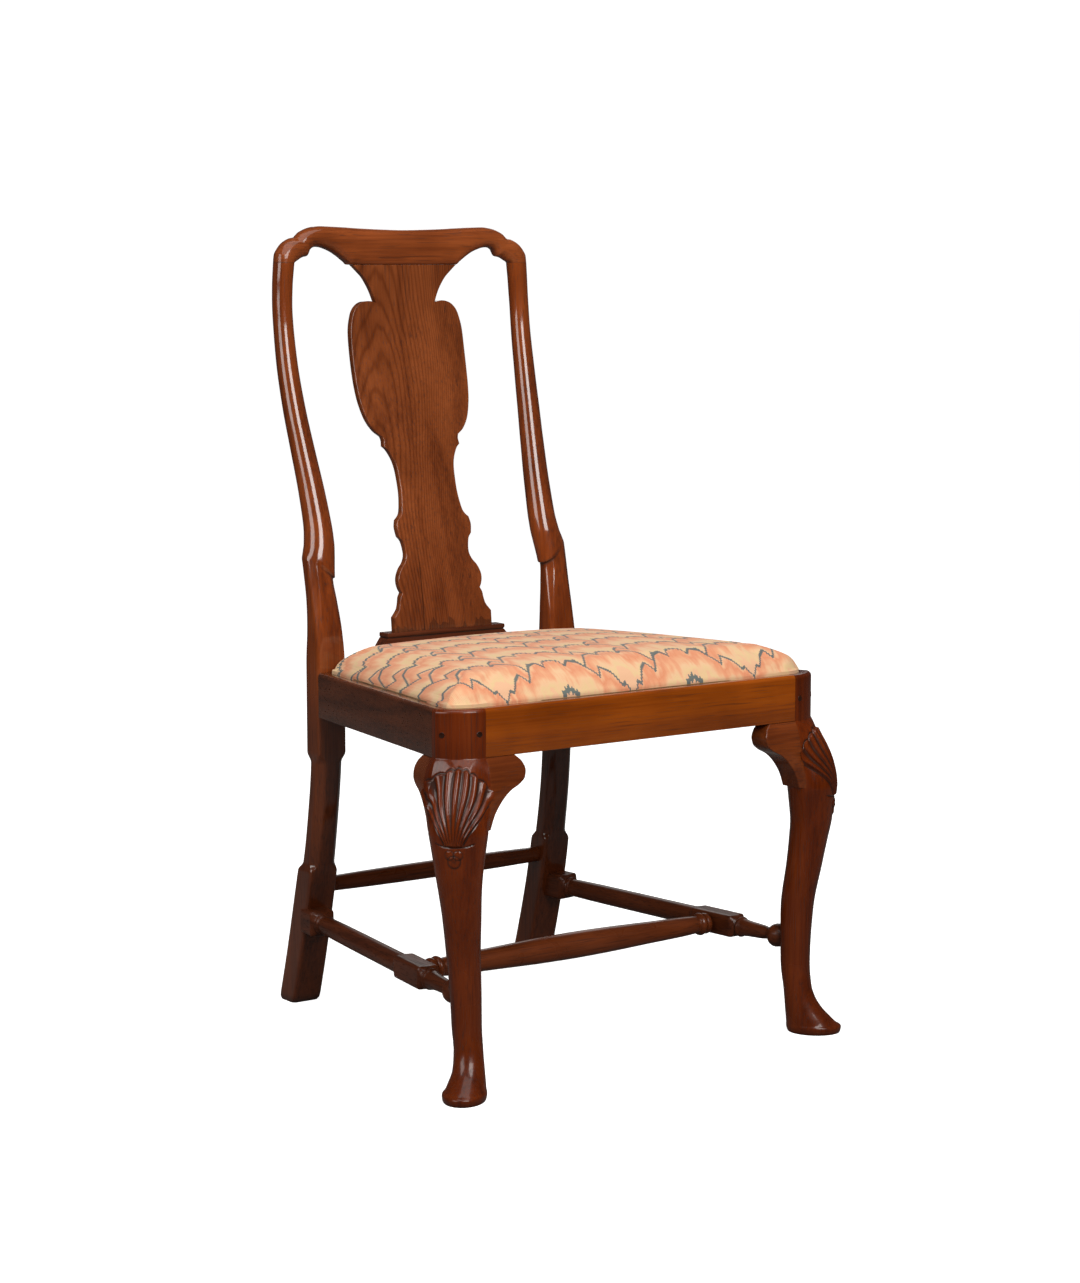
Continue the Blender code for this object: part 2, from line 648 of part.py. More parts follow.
def seat_rails(front_finish, side_finish, rear_finish):
    """The four rails of the seat, tenoned into the stiles and the posts and rebated for the slip seat."""
    body = lip_rail(lambda d: (-STILE_X + GAP, d), lambda d: (STILE_X - GAP, d))
    front = add_object("front_seat_rail", body, front_finish)
    for side in (-1, 1):
        join(front, mirrored(front_rail_tenon(0.0), side))
        cut(front, mirrored(rail_peg("front", GAP), side))
    cut(front, well_cutter())
    for side, name in ((-1, "left_side_seat_rail"), (1, "right_side_seat_rail")):
        body = lip_rail(lambda d: side_point(0, d, CORNER_Y + GAP),
                        lambda d: side_point(0, d, SEAT_DEPTH - GAP))
        rail = add_object(name, mirrored(body, side), side_finish)
        join(rail, mirrored(side_tenon_front(0.0), side))
        join(rail, mirrored(side_tenon_rear(0.0), side))
        cut(rail, mirrored(rail_peg("side", GAP), side))
        cut(rail, well_cutter())
    half = POST_X - POST_WIDTH / 2 - GAP
    outline = plan_box(half, REAR_RAIL_FRONT, REAR_RAIL_BACK)
    level_top = SEAT_HEIGHT + SEAT_DROP
    rear = add_object("rear_seat_rail", tilt(prism(outline, RAIL_BOTTOM, level_top)), rear_finish)
    for side in (-1, 1):
        join(rear, mirrored(rear_rail_tenon(0.0), side))
    cut(rear, well_cutter())
    cut(rear, prism(plan_box(half * 2, 0.0, SEAT_DEPTH * 2), SEAT_BACK_HEIGHT, SEAT_HEIGHT + RAIL_DEPTH))


def corner_blocks(finish):
    """Three-cornered glue blocks that brace the inner corners of the seat frame."""
    top = LEDGE_HEIGHT - GAP * 2
    reach = CORNER_BLOCK_SIDE
    inner_front = side_point(0, RAIL_THICKNESS + GAP, CORNER_Y + GAP)
    inner_mid = side_point(0, RAIL_THICKNESS + GAP, CORNER_Y + GAP + reach)
    front = [inner_front, inner_mid, (STILE_X - reach, CORNER_Y + GAP)]
    rear_end = side_point(0, RAIL_THICKNESS + GAP, REAR_RAIL_FRONT - GAP)
    rear_mid = side_point(0, RAIL_THICKNESS + GAP, REAR_RAIL_FRONT - GAP - reach)
    rear = [rear_mid, rear_end, (POST_X - POST_WIDTH / 2 - reach, REAR_RAIL_FRONT - GAP)]
    for side, hand in ((-1, "left"), (1, "right")):
        for outline, place in ((front, "front"), (rear, "rear")):
            block = mirrored(tilt(prism(outline, top - CORNER_BLOCK_HEIGHT, top)), side)
            add_object(hand + "_" + place + "_corner_block", block, finish)


# Front leg below the knee: height as a share of the knee, shift of the centre from the ankle across and
# back, and the half lengths of the section along and across the diagonal of the corner.
LEG_LINE = [
    (0.000, 0.0156, -0.0186, 0.0325, 0.0245),
    (0.024, 0.0154, -0.0185, 0.0343, 0.0259),
    (0.063, 0.0094, -0.0146, 0.0280, 0.0217),
    (0.103, 0.0045, -0.0106, 0.0227, 0.0188),
    (0.144, 0.0019, -0.0068, 0.0193, 0.0177),
    (0.187, 0.0005, -0.0040, 0.0178, 0.0172),
    (0.276, 0.0000, 0.0000, 0.0183, 0.0177),
    (0.367, 0.0005, 0.0006, 0.0189, 0.0183),
    (0.504, 0.0027, 0.0010, 0.0205, 0.0196),
    (0.692, 0.0093, -0.0045, 0.0225, 0.0229),
    (0.784, 0.0128, -0.0067, 0.0240, 0.0253),
    (0.876, 0.0155, -0.0087, 0.0262, 0.0288),
    (1.000, 0.0158, -0.0082, 0.0300, 0.0345),
]
DIAGONAL = math.radians(-45)
ARC_STEPS = 8
FLAT_STEPS = 5
KNEE_STEPS = 7


def stile_outline():
    """Plan of the square top of the leg: flat behind, with the canted, rounded corner outside."""
    angles = np.linspace(0.0, CORNER_SWEEP, ARC_STEPS)
    points = [(STILE_X + CORNER_RADIUS * math.sin(a), CORNER_RADIUS * (1 - math.cos(a))) for a in angles]
    corner = np.array([STILE_X, CORNER_Y])
    end = np.array(points[-1])
    start = np.array(points[0])
    for k in range(1, FLAT_STEPS + 1):
        points.append(tuple(end + (corner - end) * k / FLAT_STEPS))
    for k in range(1, 3):
        points.append(tuple(corner + (start - corner) * k / 3))
    return np.array(points)


def leg_oval(bearings, share):
    """Section of the leg at a share of the knee height, read at the given bearings round its centre."""
    shift_x, shift_y, half_along, half_across = between(LEG_LINE, share)
    centre = np.array([STILE_X + LEG_ANKLE[0] + shift_x, LEG_ANKLE[1] + shift_y])
    turn = bearings - DIAGONAL
    radius = ((np.cos(turn) / half_along) ** 2 + (np.sin(turn) / half_across) ** 2) ** -0.5
    return centre + np.stack([np.cos(bearings), np.sin(bearings)], axis=1) * radius[:, None]


def knee_share(drop):
    """How far the leg has swelled from stile to knee at a share of the knee's drop: quick, then slow."""
    return 1 - (1 - np.clip(drop, 0.0, 1.0)) ** KNEE_EASE


def leg_rings(grow):
    """Rings of the right front leg from the top of the stile to the floor, swelled by grow."""
    outline = stile_outline()
    middle = np.array([STILE_X + 0.0206, 0.017])
    spokes = outline - middle
    bearings = np.arctan2(spokes[:, 1], spokes[:, 0])
    swell = spokes / np.linalg.norm(spokes, axis=1)[:, None] * grow
    rings = []
    edge = np.array([seat_level(y) for x, y in outline])
    inner = middle + spokes * 0.93
    for plan, z in ((inner, edge), (outline, edge - RAIL_EDGE_ROUND * 0.6)):
        rings.append(np.column_stack([plan + swell, z]))
    for drop in np.linspace(0.0, 1.0, KNEE_STEPS):
        blend = knee_share(drop)
        z = RAIL_BOTTOM - KNEE_DROP * drop
        plan = outline * (1 - blend) + leg_oval(bearings, 1.0) * blend + swell
        rings.append(np.column_stack([plan, np.full(len(plan), z)]))
    for share in [row[0] for row in reversed(LEG_LINE[:-1])]:
        plan = leg_oval(bearings, share) + swell
        rings.append(np.column_stack([plan, np.full(len(plan), share * KNEE_HEIGHT)]))
    return rings


def front_leg(side, finish):
    """A cabriole leg: square stile above, swelling knee, slim ankle and a foot that points outwards."""
    hand = "left" if side < 0 else "right"
    leg = add_object(hand + "_front_leg", mirrored(loft(leg_rings(0.0)), side), finish)
    cut(leg, well_cutter())
    cut(leg, mirrored(side_stretcher_tenon_front(GAP), side))
    cut(leg, mirrored(front_rail_tenon(2 * GAP), side))
    cut(leg, mirrored(side_tenon_front(2 * GAP), side))
    cut(leg, mirrored(rail_peg("front", GAP), side))
    cut(leg, mirrored(rail_peg("side", GAP), side))
    for which in ("front", "side"):
        peg = mirrored(rail_peg(which, 0.0), side)
        add_object(hand + "_" + which + "_rail_peg", peg, finish)


# Knee bracket outline from the leg outwards: shares of its length and of its height below the rail.
BRACKET_EDGE = [
    (0.800, 0.000), (0.940, 0.090), (1.000, 0.200), (0.960, 0.310), (0.800, 0.400), (0.580, 0.470),
    (0.400, 0.560), (0.270, 0.670), (0.170, 0.800), (0.090, 1.000),
]
BRACKET_ROOTS = {"front": 0.010, "side": 0.004}
BRACKET_TUCK = 0.80
BRACKET_BENDS = 7


def knee_bracket(hand, side, place, finish):
    """A lobed ear glued under the rail beside the knee; its face swells outwards with the knee."""
    top = RAIL_BOTTOM - GAP
    edge = smooth_curve(BRACKET_EDGE, 2)
    root = BRACKET_ROOTS[place]
    outline = [(-root, top)]
    length = BRACKET_LENGTH if place == "front" else SIDE_BRACKET_LENGTH
    outline += [(x * length, top - z * BRACKET_HEIGHT) for x, z in edge]
    outline.append((-root, top - BRACKET_HEIGHT))
    levels = np.linspace(top - BRACKET_HEIGHT, top, BRACKET_BENDS + 2)[1:-1]

    def proud(z):
        return KNEE_PROUD * knee_share((RAIL_BOTTOM - z) / KNEE_DROP) - 4 * GAP

    bm = slab(outline, levels, lambda z: -proud(z), lambda z: BRACKET_THICKNESS)
    for vertex in bm.verts:
        distance, inward, z = vertex.co
        if distance < 0 and inward < BRACKET_THICKNESS / 2:
            inward -= distance * BRACKET_TUCK
        if place == "front":
            vertex.co = (STILE_X - distance, inward, z)
        else:
            plan = side_point(distance, inward)
            vertex.co = (plan[0], plan[1], z)
    item = add_object(hand + "_" + place + "_knee_bracket", mirrored(tilt(bm), side), finish)
    cut(item, mirrored(loft(leg_rings(GAP)), side))


def side_stretcher_ends():
    """The line of the right side stretcher, from the rear leg's front face to the front leg's back."""
    z = SIDE_STRETCHER_HEIGHT
    _, rear_y, _, rear_depth = rear_leg_at(z)
    rear = np.array([POST_X + STRETCHER_REAR_OFFSET, rear_y - rear_depth / 2 - GAP, z])
    shift_x, shift_y, half_along, _ = between(LEG_LINE, z / KNEE_HEIGHT)
    leg = np.array([STILE_X + LEG_ANKLE[0] + shift_x, LEG_ANKLE[1] + shift_y, z])
    way = (leg - rear) / np.linalg.norm(leg - rear)
    front = leg - way * (half_along + GAP)
    return rear, front, way


def side_stretcher_tenon_rear(grow):
    """Round tenon of the side stretcher in the rear leg, or its hole when grown."""
    rear, _, way = side_stretcher_ends()
    radius = STRETCHER_TENON_RADIUS + grow
    stations = [(0, radius, 2), (STRETCHER_TENON_LENGTH + 0.01 + grow, radius, 2)]
    return turned(rear + way * 0.01, rear - way, stations, 10)


def side_stretcher_tenon_front(grow):
    """Round tenon of the side stretcher in the front leg, or its hole when grown."""
    _, front, way = side_stretcher_ends()
    radius = STRETCHER_TENON_RADIUS + grow
    stations = [(0, radius, 2), (STRETCHER_TENON_LENGTH + 0.01 + grow, radius, 2)]
    return turned(front - way * 0.01, front + way, stations, 10)


def cross_point():
    """Where the cross stretcher meets the middle line of the right side stretcher."""
    rear, front, way = side_stretcher_ends()
    share = (CROSS_STRETCHER_SETBACK - rear[1]) / (front[1] - rear[1])
    return rear + (front - rear) * share, share * np.linalg.norm(front - rear)


def cross_tenon(grow):
    """Right tenon of the cross stretcher, or its hole in the side stretcher when grown."""
    point, _ = cross_point()
    start = point - np.array([STRETCHER_BLOCK / 2 + 0.012, 0, 0])
    radius = STRETCHER_TENON_RADIUS + grow
    stations = [(0, radius, 2), (STRETCHER_TENON_LENGTH + 0.012 + grow, radius, 2)]
    return turned(start, start + np.array([1.0, 0, 0]), stations, 10)


def rear_stretcher_tenon(grow):
    """Right tenon of the rear stretcher, or its hole in the rear leg when grown."""
    x, y, width, _ = rear_leg_at(REAR_STRETCHER_HEIGHT)
    start = np.array([x - width / 2 - 0.01, y, REAR_STRETCHER_HEIGHT])
    radius = STRETCHER_TENON_RADIUS + grow
    stations = [(0, radius, 2), (STRETCHER_TENON_LENGTH + 0.01 + grow, radius, 2)]
    return turned(start, start + np.array([1.0, 0, 0]), stations, 10)


def stretchers(finish):
    """The turned stretchers: two at the sides with square blocks, one across them, one behind."""
    rear, front, _ = side_stretcher_ends()
    length = np.linalg.norm(front - rear)
    _, block = cross_point()
    half = STRETCHER_BLOCK / 2
    foot = STRETCHER_REAR_BLOCK / 2
    r = STRETCHER_RADIUS
    block_rear = block - STRETCHER_BLOCK_LENGTH / 2
    block_front = block + STRETCHER_BLOCK_LENGTH / 2
    stations = [
        (-0.008, foot, 9), (0.024, foot, 9), (0.030, r * 1.02, 2), (0.034, r * 0.88, 2),
        (0.040, r * 0.93, 2), (block_rear * 0.5, r, 2), (block_rear - 0.004, r * 1.08, 2.2),
        (block_rear, half, 9),
        (block_front, half, 9), (block_front + 0.007, r * 0.86, 2), (block_front + 0.010, r * 1.02, 2),
        (block_front + 0.014, r * 0.98, 2), (length - 0.022, r * 0.56, 2), (length - 0.020, r * 0.90, 2),
        (length - 0.012, r * 1.18, 2), (length - 0.004, r * 1.05, 2), (length + 0.004, r * 0.66, 2),
    ]
    for side, name in ((-1, "left_side_stretcher"), (1, "right_side_stretcher")):
        item = add_object(name, mirrored(turned(rear, front, stations, 12), side), finish)
        cut(item, mirrored(loft(rear_post_rings(GAP)), side))
        cut(item, mirrored(loft(leg_rings(GAP)), side))
        join(item, mirrored(side_stretcher_tenon_rear(0.0), side))
        join(item, mirrored(side_stretcher_tenon_front(0.0), side))
        cut(item, mirrored(cross_tenon(GAP), side))
    point, _ = cross_point()
    reach = point[0] - half - GAP - 0.0030
    big = CROSS_STRETCHER_RADIUS
    ends = [(0.0, big * 0.68, 2), (0.002, big * 0.79, 2), (0.006, big * 0.79, 2), (0.008, big * 0.66, 2),
            (0.010, big * 0.86, 2), (0.015, big * 0.86, 2), (0.018, big * 0.64, 2), (0.024, big * 0.70, 2),
            (reach * 0.45, big * 0.84, 2), (reach * 0.8, big * 0.97, 2)]
    body = ends + [(reach, big, 2)] + [(2 * reach - d, size, k) for d, size, k in reversed(ends)]
    start = np.array([-reach, point[1], point[2]])
    cross = add_object("cross_stretcher", turned(start, start + np.array([1.0, 0, 0]), body, 12), finish)
    for side in (-1, 1):
        join(cross, mirrored(cross_tenon(0.0), side))
    x, y, width, _ = rear_leg_at(REAR_STRETCHER_HEIGHT)
    reach = x - width / 2 - GAP
    r = REAR_STRETCHER_RADIUS
    body = [(0.0, r * 0.86, 2), (reach * 0.5, r * 0.97, 2), (reach, r, 2), (reach * 1.5, r * 0.97, 2),
            (reach * 2, r * 0.86, 2)]
    start = np.array([-reach, y, REAR_STRETCHER_HEIGHT])
    back = add_object("rear_stretcher", turned(start, start + np.array([1.0, 0, 0]), body, 12), finish)
    for side in (-1, 1):
        join(back, mirrored(rear_stretcher_tenon(0.0), side))


SLIP_INSET = SLIP_CLEARANCE + COVER_THICKNESS + GAP
SLIP_BASE = LEDGE_HEIGHT + GAP
SLIP_TOP = SLIP_BASE + SLIP_RAIL_THICKNESS
SLIP_FRONT = LIP_WIDTH + SLIP_INSET
SLIP_BACK = WELL_BACK - SLIP_INSET


def slip_edge(y):
    """Half width of the slip seat's wooden frame at a distance behind the front."""
    offset = OUTWARD @ np.array([CORNER_X, CORNER_Y]) - LIP_WIDTH - SLIP_INSET
    return (offset - OUTWARD[1] * y) / OUTWARD[0]


def slip_frame(finish):
    """The loose frame of the slip seat: front and back rails, with the side rails butted between them."""
    outline, _, _ = seat_well(SLIP_INSET, 0, 0)
    front_line = SLIP_FRONT + SLIP_RAIL_WIDTH
    back_line = SLIP_BACK - SLIP_RAIL_WIDTH
    front = [p for p in outline if p[1] < front_line]
    right_front = (slip_edge(front_line), front_line)
    front_right = [p for p in front if p[0] > 0] + [right_front]
    front_full = front_right + [(-x, y) for x, y in reversed(front_right)]
    add_object("slip_front_rail", tilt(prism(front_full, SLIP_BASE, SLIP_TOP)), finish)
    back_right = [(slip_edge(back_line), back_line)] + [p for p in outline if p[1] > back_line and p[0] > 0]
    back_full = back_right + [(-x, y) for x, y in reversed(back_right)]
    add_object("slip_back_rail", tilt(prism(back_full, SLIP_BASE, SLIP_TOP)), finish)
    low = front_line + GAP
    high = back_line - GAP
    width = SLIP_RAIL_WIDTH / OUTWARD[0]
    side_rail = [(slip_edge(low) - width, low), (slip_edge(low), low), (slip_edge(high), high),
                 (slip_edge(high) - width, high)]
    for side, name in ((-1, "slip_left_rail"), (1, "slip_right_rail")):
        add_object(name, mirrored(tilt(prism(side_rail, SLIP_BASE, SLIP_TOP)), side), finish)


WEB_LEVEL = SLIP_TOP + 2 * GAP + WEB_WEAVE + WEB_THICKNESS / 2
LONG_WEBS = (-WEB_SPACING, 0.0, WEB_SPACING)
CROSS_WEBS = (0.30, 0.70)


def web_strip(start, end, crossings, sign):
    """A woven strip: a flat band that climbs over and dips under the strips it crosses."""
    start = np.array(start)
    run = np.array(end) - start
    length = np.linalg.norm(run)
    way = run / length
    across = np.array([-way[1], way[0]]) * WEB_WIDTH / 2
    hold = WEB_WIDTH / 2 + 0.006
    marks = [(0.0, 0.0)]
    for k, distance in enumerate(crossings):
        lift = WEB_WEAVE * sign * (-1) ** k
        marks += [(distance - hold, lift), (distance + hold, lift)]
    marks.append((length, 0.0))
    rings = []
    for distance, lift in marks:
        plan = start + way * distance
        section = []
        for shift, z in ((-1, -1), (1, -1), (1, 1), (-1, 1)):
            point = plan + across * shift
            section.append((point[0], point[1], WEB_LEVEL + lift + z * WEB_THICKNESS / 2))
        rings.append(section)
    return tilt(loft(rings))


def webbing(finish):
    """Interlaced girth webbing, tacked on top of the slip frame."""
    front = SLIP_FRONT + 0.010
    back = SLIP_BACK - 0.010
    rows = [front + (back - front) * share for share in CROSS_WEBS]
    names = ("left_long_webbing", "middle_long_webbing", "right_long_webbing")
    for k, (x, name) in enumerate(zip(LONG_WEBS, names)):
        sign = 1 if k % 2 == 0 else -1
        add_object(name, web_strip((x, front), (x, back), [y - front for y in rows], sign), finish)
    for k, (y, name) in enumerate(zip(rows, ("front_cross_webbing", "rear_cross_webbing"))):
        half = slip_edge(y + WEB_WIDTH / 2) - 0.010
        sign = -1 if k % 2 == 0 else 1
        add_object(name, web_strip((-half, y), (half, y), [x + half for x in LONG_WEBS], sign), finish)


CLOTH_LOW = WEB_LEVEL + WEB_WEAVE + WEB_THICKNESS / 2 + GAP
CLOTH_TOP = CLOTH_LOW + BASE_CLOTH_THICKNESS
STUFFING_LOW = CLOTH_TOP + GAP
PAD_ROWS = 7
PAD_EDGE_PIECES = 9


def pad_ring(outline):
    """The slip seat's outline, with points added along its straight edges so that the pad can bend, and
    how far each point lies from the corners: 0 at an edge's ends, 1 at its middle."""
    points = [np.array(p) for p in outline]
    wood_edge = np.array(seat_well(SLIP_INSET, 0, 0)[0])
    edges = np.linalg.norm(np.roll(wood_edge, -1, axis=0) - wood_edge, axis=1)
    pieces = np.maximum(1, np.round(edges / edges.max() * PAD_EDGE_PIECES).astype(int))
    dense = []
    waist = []
    for k, point in enumerate(points):
        after = points[(k + 1) % len(points)]
        for step in range(pieces[k]):
            t = step / pieces[k]
            dense.append(point + (after - point) * t)
            waist.append(4 * t * (1 - t))
    return np.array(dense), np.array(waist)


def pad_rings(inset, low, edge_low, crown):
    """Rings of a crowned pad: a straight skirt on the slip frame, then sides that draw in between the
    corners and a dome that closes inwards."""
    outline, _, _ = seat_well(SLIP_CLEARANCE + inset, 0, 0)
    rim, waist = pad_ring(outline)
    middle = np.array([0.0, (SLIP_FRONT + SLIP_BACK) / 2])
    reach = np.linalg.norm(rim - middle, axis=1)
    shares = [1.0, 1.0] + [1 - (k / PAD_ROWS) ** 1.5 * 0.93 for k in range(1, PAD_ROWS + 1)]
    rings = []
    for k, share in enumerate(shares):
        draw = PAD_DRAW_IN * waist / reach if k > 1 else np.zeros(len(rim))
        plan = middle + (rim - middle) * (share * (1 - draw))[:, None]
        z = low if k == 0 else edge_low + crown * (1 - share ** 2.6) ** 0.75
        rings.append(np.column_stack([plan, np.full(len(rim), z)]))
    return rings


def slip_upholstery(cloth_finish, stuffing_finish, cover_finish):
    """Base cloth, curled-hair stuffing and the needlework cover of the slip seat."""
    outline, _, _ = seat_well(SLIP_INSET + 0.006, 0, 0)
    add_object("base_cloth", tilt(prism(outline, CLOTH_LOW, CLOTH_TOP)), cloth_finish)
    edge = STUFFING_LOW + CROWN_EDGE
    stuffing = loft(pad_rings(COVER_THICKNESS + GAP, STUFFING_LOW, edge, CROWN_HEIGHT))
    add_object("seat_stuffing", tilt(stuffing), stuffing_finish)
    outer = pad_rings(0.0, SLIP_BASE, edge, CROWN_HEIGHT + COVER_THICKNESS + GAP)
    inner = pad_rings(COVER_THICKNESS, SLIP_BASE, edge, CROWN_HEIGHT + GAP)
    bm = bmesh.new()
    shells = []
    for rings in (outer, inner):
        rows = [[bm.verts.new(point) for point in ring] for ring in rings]
        count = len(rows[0])
        for low, high in zip(rows, rows[1:]):
            for i in range(count):
                j = (i + 1) % count
                bm.faces.new((low[i], low[j], high[j], high[i]))
        bm.faces.new(rows[-1])
        shells.append(rows[0])
    count = len(shells[0])
    for i in range(count):
        j = (i + 1) % count
        bm.faces.new((shells[0][i], shells[1][i], shells[1][j], shells[0][j]))
    add_object("seat_cover", tilt(bm), cover_finish)


def settle_origin():
    """Moves the chair so that the origin lies on the floor under the middle of its plan."""
    bpy.context.view_layer.update()
    depsgraph = bpy.context.evaluated_depsgraph_get()
    low = math.inf
    high = -math.inf
    for item in ROOT.children:
        if item.hide_render:
            continue
        mesh = item.evaluated_get(depsgraph).to_mesh()
        depths = [vertex.co.y for vertex in mesh.vertices]
        low = min(low, min(depths))
        high = max(high, max(depths))
    ROOT.location.y = -(low + high) / 2


def build():
    """Makes every piece of the chair in the order in which it is put together."""
    frame_wood = wood("walnut_frame", (0.165, 0.058, 0.022))
    front_wood = wood("walnut_front_rail", (0.225, 0.082, 0.026))
    splat_wood = wood("walnut_splat", (0.235, 0.088, 0.034))
    dark_wood = wood("walnut_shoe", (0.085, 0.030, 0.016))
    hidden_wood = wood("seasoned_beech", (0.42, 0.27, 0.14), 0.6)
    jute = wood("jute_webbing", (0.50, 0.38, 0.22), 0.9)
    hessian = wood("hessian", (0.46, 0.36, 0.22), 0.9)
    hair = wood("curled_hair", (0.20, 0.15, 0.10), 0.95)
    needlework = wood("needlework", (0.85, 0.52, 0.34), 0.9)
    for side in (-1, 1):
        rear_post(side, frame_wood)
        front_leg(side, frame_wood)
        hand = "left" if side < 0 else "right"
        for place in ("front", "side"):
            knee_bracket(hand, side, place, frame_wood)
    crest_rail(frame_wood)
    splat(splat_wood)
    splat_shoe(dark_wood)
    seat_rails(front_wood, frame_wood, frame_wood)
    corner_blocks(hidden_wood)
    stretchers(frame_wood)
    slip_frame(hidden_wood)
    webbing(jute)
    slip_upholstery(hessian, hair, needlework)
    settle_origin()


clear_scene()
ROOT = bpy.data.objects.new("queen_anne_chair", None)
bpy.context.collection.objects.link(ROOT)
build()
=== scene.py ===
"""The looks of a side chair in old walnut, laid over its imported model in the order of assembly."""

import math

import bpy
import numpy as np
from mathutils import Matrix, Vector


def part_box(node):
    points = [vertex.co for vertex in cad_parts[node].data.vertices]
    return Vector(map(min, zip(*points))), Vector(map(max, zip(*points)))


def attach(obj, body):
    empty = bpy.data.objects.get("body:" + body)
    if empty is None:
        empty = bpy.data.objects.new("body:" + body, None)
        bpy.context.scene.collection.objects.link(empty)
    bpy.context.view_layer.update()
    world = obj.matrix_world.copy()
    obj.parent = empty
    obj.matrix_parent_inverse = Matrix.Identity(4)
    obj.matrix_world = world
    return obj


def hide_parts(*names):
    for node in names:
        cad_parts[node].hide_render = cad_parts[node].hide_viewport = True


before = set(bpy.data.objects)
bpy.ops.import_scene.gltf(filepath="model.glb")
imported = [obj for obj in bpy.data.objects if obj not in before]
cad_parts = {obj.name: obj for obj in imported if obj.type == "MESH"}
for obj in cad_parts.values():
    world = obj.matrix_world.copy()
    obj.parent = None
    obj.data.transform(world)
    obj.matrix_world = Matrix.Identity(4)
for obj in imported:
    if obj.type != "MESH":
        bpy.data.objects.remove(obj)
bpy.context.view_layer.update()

# The room: a pale floor and a white surround. Broad lights from the left and the front draw the streaks
# on the round posts, one overhead fills the seat and a weak one lifts the back. The camera stands where
# the photographer stood.
bpy.context.scene.view_settings.view_transform = "Standard"


def node(tree, kind, sockets=None, **settings):
    """A shader node with its settings, and each socket set to a value or linked to another's output."""
    made = tree.nodes.new("ShaderNode" + kind)
    for key, value in settings.items():
        setattr(made, key, value)
    for key, value in (sockets or {}).items():
        if isinstance(value, bpy.types.NodeSocket):
            tree.links.new(value, made.inputs[key])
        else:
            made.inputs[key].default_value = value
    return made


def sums(tree, operation, first, second=0.0, third=0.0):
    """The result of a Math node on two or three numbers."""
    return node(tree, "Math", {0: first, 1: second, 2: third}, operation=operation).outputs[0]


def tint(tree, amount, under, over, mode="MIX"):
    """The result of laying one colour over another."""
    sockets = {0: amount, 6: under, 7: over}
    return node(tree, "Mix", sockets, data_type="RGBA", blend_type=mode).outputs[2]


def new_finish(name):
    """A fresh material with its node tree and its shader."""
    finish = bpy.data.materials.new(name)
    finish.use_nodes = True
    return finish, finish.node_tree, finish.node_tree.nodes["Principled BSDF"]


def feed(tree, shader, **sockets):
    """Links or sets shader inputs, whose names are written in lower case with underscores."""
    names = {key.lower().replace(" ", "_"): key for key in shader.inputs.keys()}
    for key, value in sockets.items():
        if isinstance(value, bpy.types.NodeSocket):
            tree.links.new(value, shader.inputs[names[key]])
        else:
            shader.inputs[names[key]].default_value = value


floor_mesh = bpy.data.meshes.new("floor")
floor_mesh.from_pydata([(-40, -40, 0), (40, -40, 0), (40, 40, 0), (-40, 40, 0)], [], [(0, 1, 2, 3)])
floor = bpy.data.objects.new("floor", floor_mesh)
bpy.context.collection.objects.link(floor)
floor_paint, floor_tree, floor_shader = new_finish("pale_floor")
seen = node(floor_tree, "LightPath").outputs["Is Camera Ray"]
feed(floor_tree, floor_shader, roughness=0.9, specular_ior_level=0.0, emission_color=(1, 1, 1, 1),
     base_color=tint(floor_tree, seen, (0.15, 0.145, 0.14, 1), (0.8, 0.8, 0.8, 1)),
     emission_strength=sums(floor_tree, "MULTIPLY", seen, 0.84))
floor_mesh.materials.append(floor_paint)

surround = bpy.data.worlds.new("white_surround")
surround.use_nodes = True
bpy.context.scene.world = surround
sky = surround.node_tree
ray = node(sky, "LightPath").outputs
shade = tint(sky, ray["Is Glossy Ray"], (0.22, 0.218, 0.215, 1), (0.05, 0.049, 0.048, 1))
shade = tint(sky, ray["Is Camera Ray"], shade, (1.05, 1.05, 1.05, 1))
feed(sky, sky.nodes["Background"], strength=1.0, color=shade)


def soft_light(name, place, aim, width, height, power):
    """An upright rectangular light at a place, turned to face the aim."""
    lamp = bpy.data.lights.new(name, "AREA")
    lamp.shape = "RECTANGLE"
    lamp.size = width
    lamp.size_y = height
    lamp.energy = power
    lamp.color = (1.0, 0.985, 0.96)
    holder = bpy.data.objects.new(name, lamp)
    way = np.array(aim) - np.array(place)
    level = math.hypot(way[0], way[1])
    holder.location = place
    holder.rotation_euler = (math.atan2(level, -way[2]), 0.0, math.atan2(-way[0], way[1]))
    bpy.context.collection.objects.link(holder)


soft_light("left_strip", (-2.8, -0.45, 1.85), (0, 0, 0.75), 1.5, 1.5, 40)
soft_light("front_strip", (-0.45, -2.65, 2.15), (0, 0, 0.65), 1.5, 1.3, 69)
soft_light("back_fill", (2.1, 2.7, 2.0), (0, 0, 0.6), 1.6, 1.6, 13)
soft_light("overhead", (-0.3, -0.6, 2.5), (0, 0, 0.4), 1.9, 1.9, 27)

eye = bpy.data.cameras.new("photo_camera")
eye.sensor_fit = "HORIZONTAL"
eye.sensor_width = 36
eye.lens = 96.32
camera = bpy.data.objects.new("photo_camera", eye)
camera.location = (-2.0395, -2.94937, 0.9599)
camera.rotation_euler = (math.radians(82.429), 0, math.radians(-35.013))
bpy.context.collection.objects.link(camera)
bpy.context.scene.camera = camera


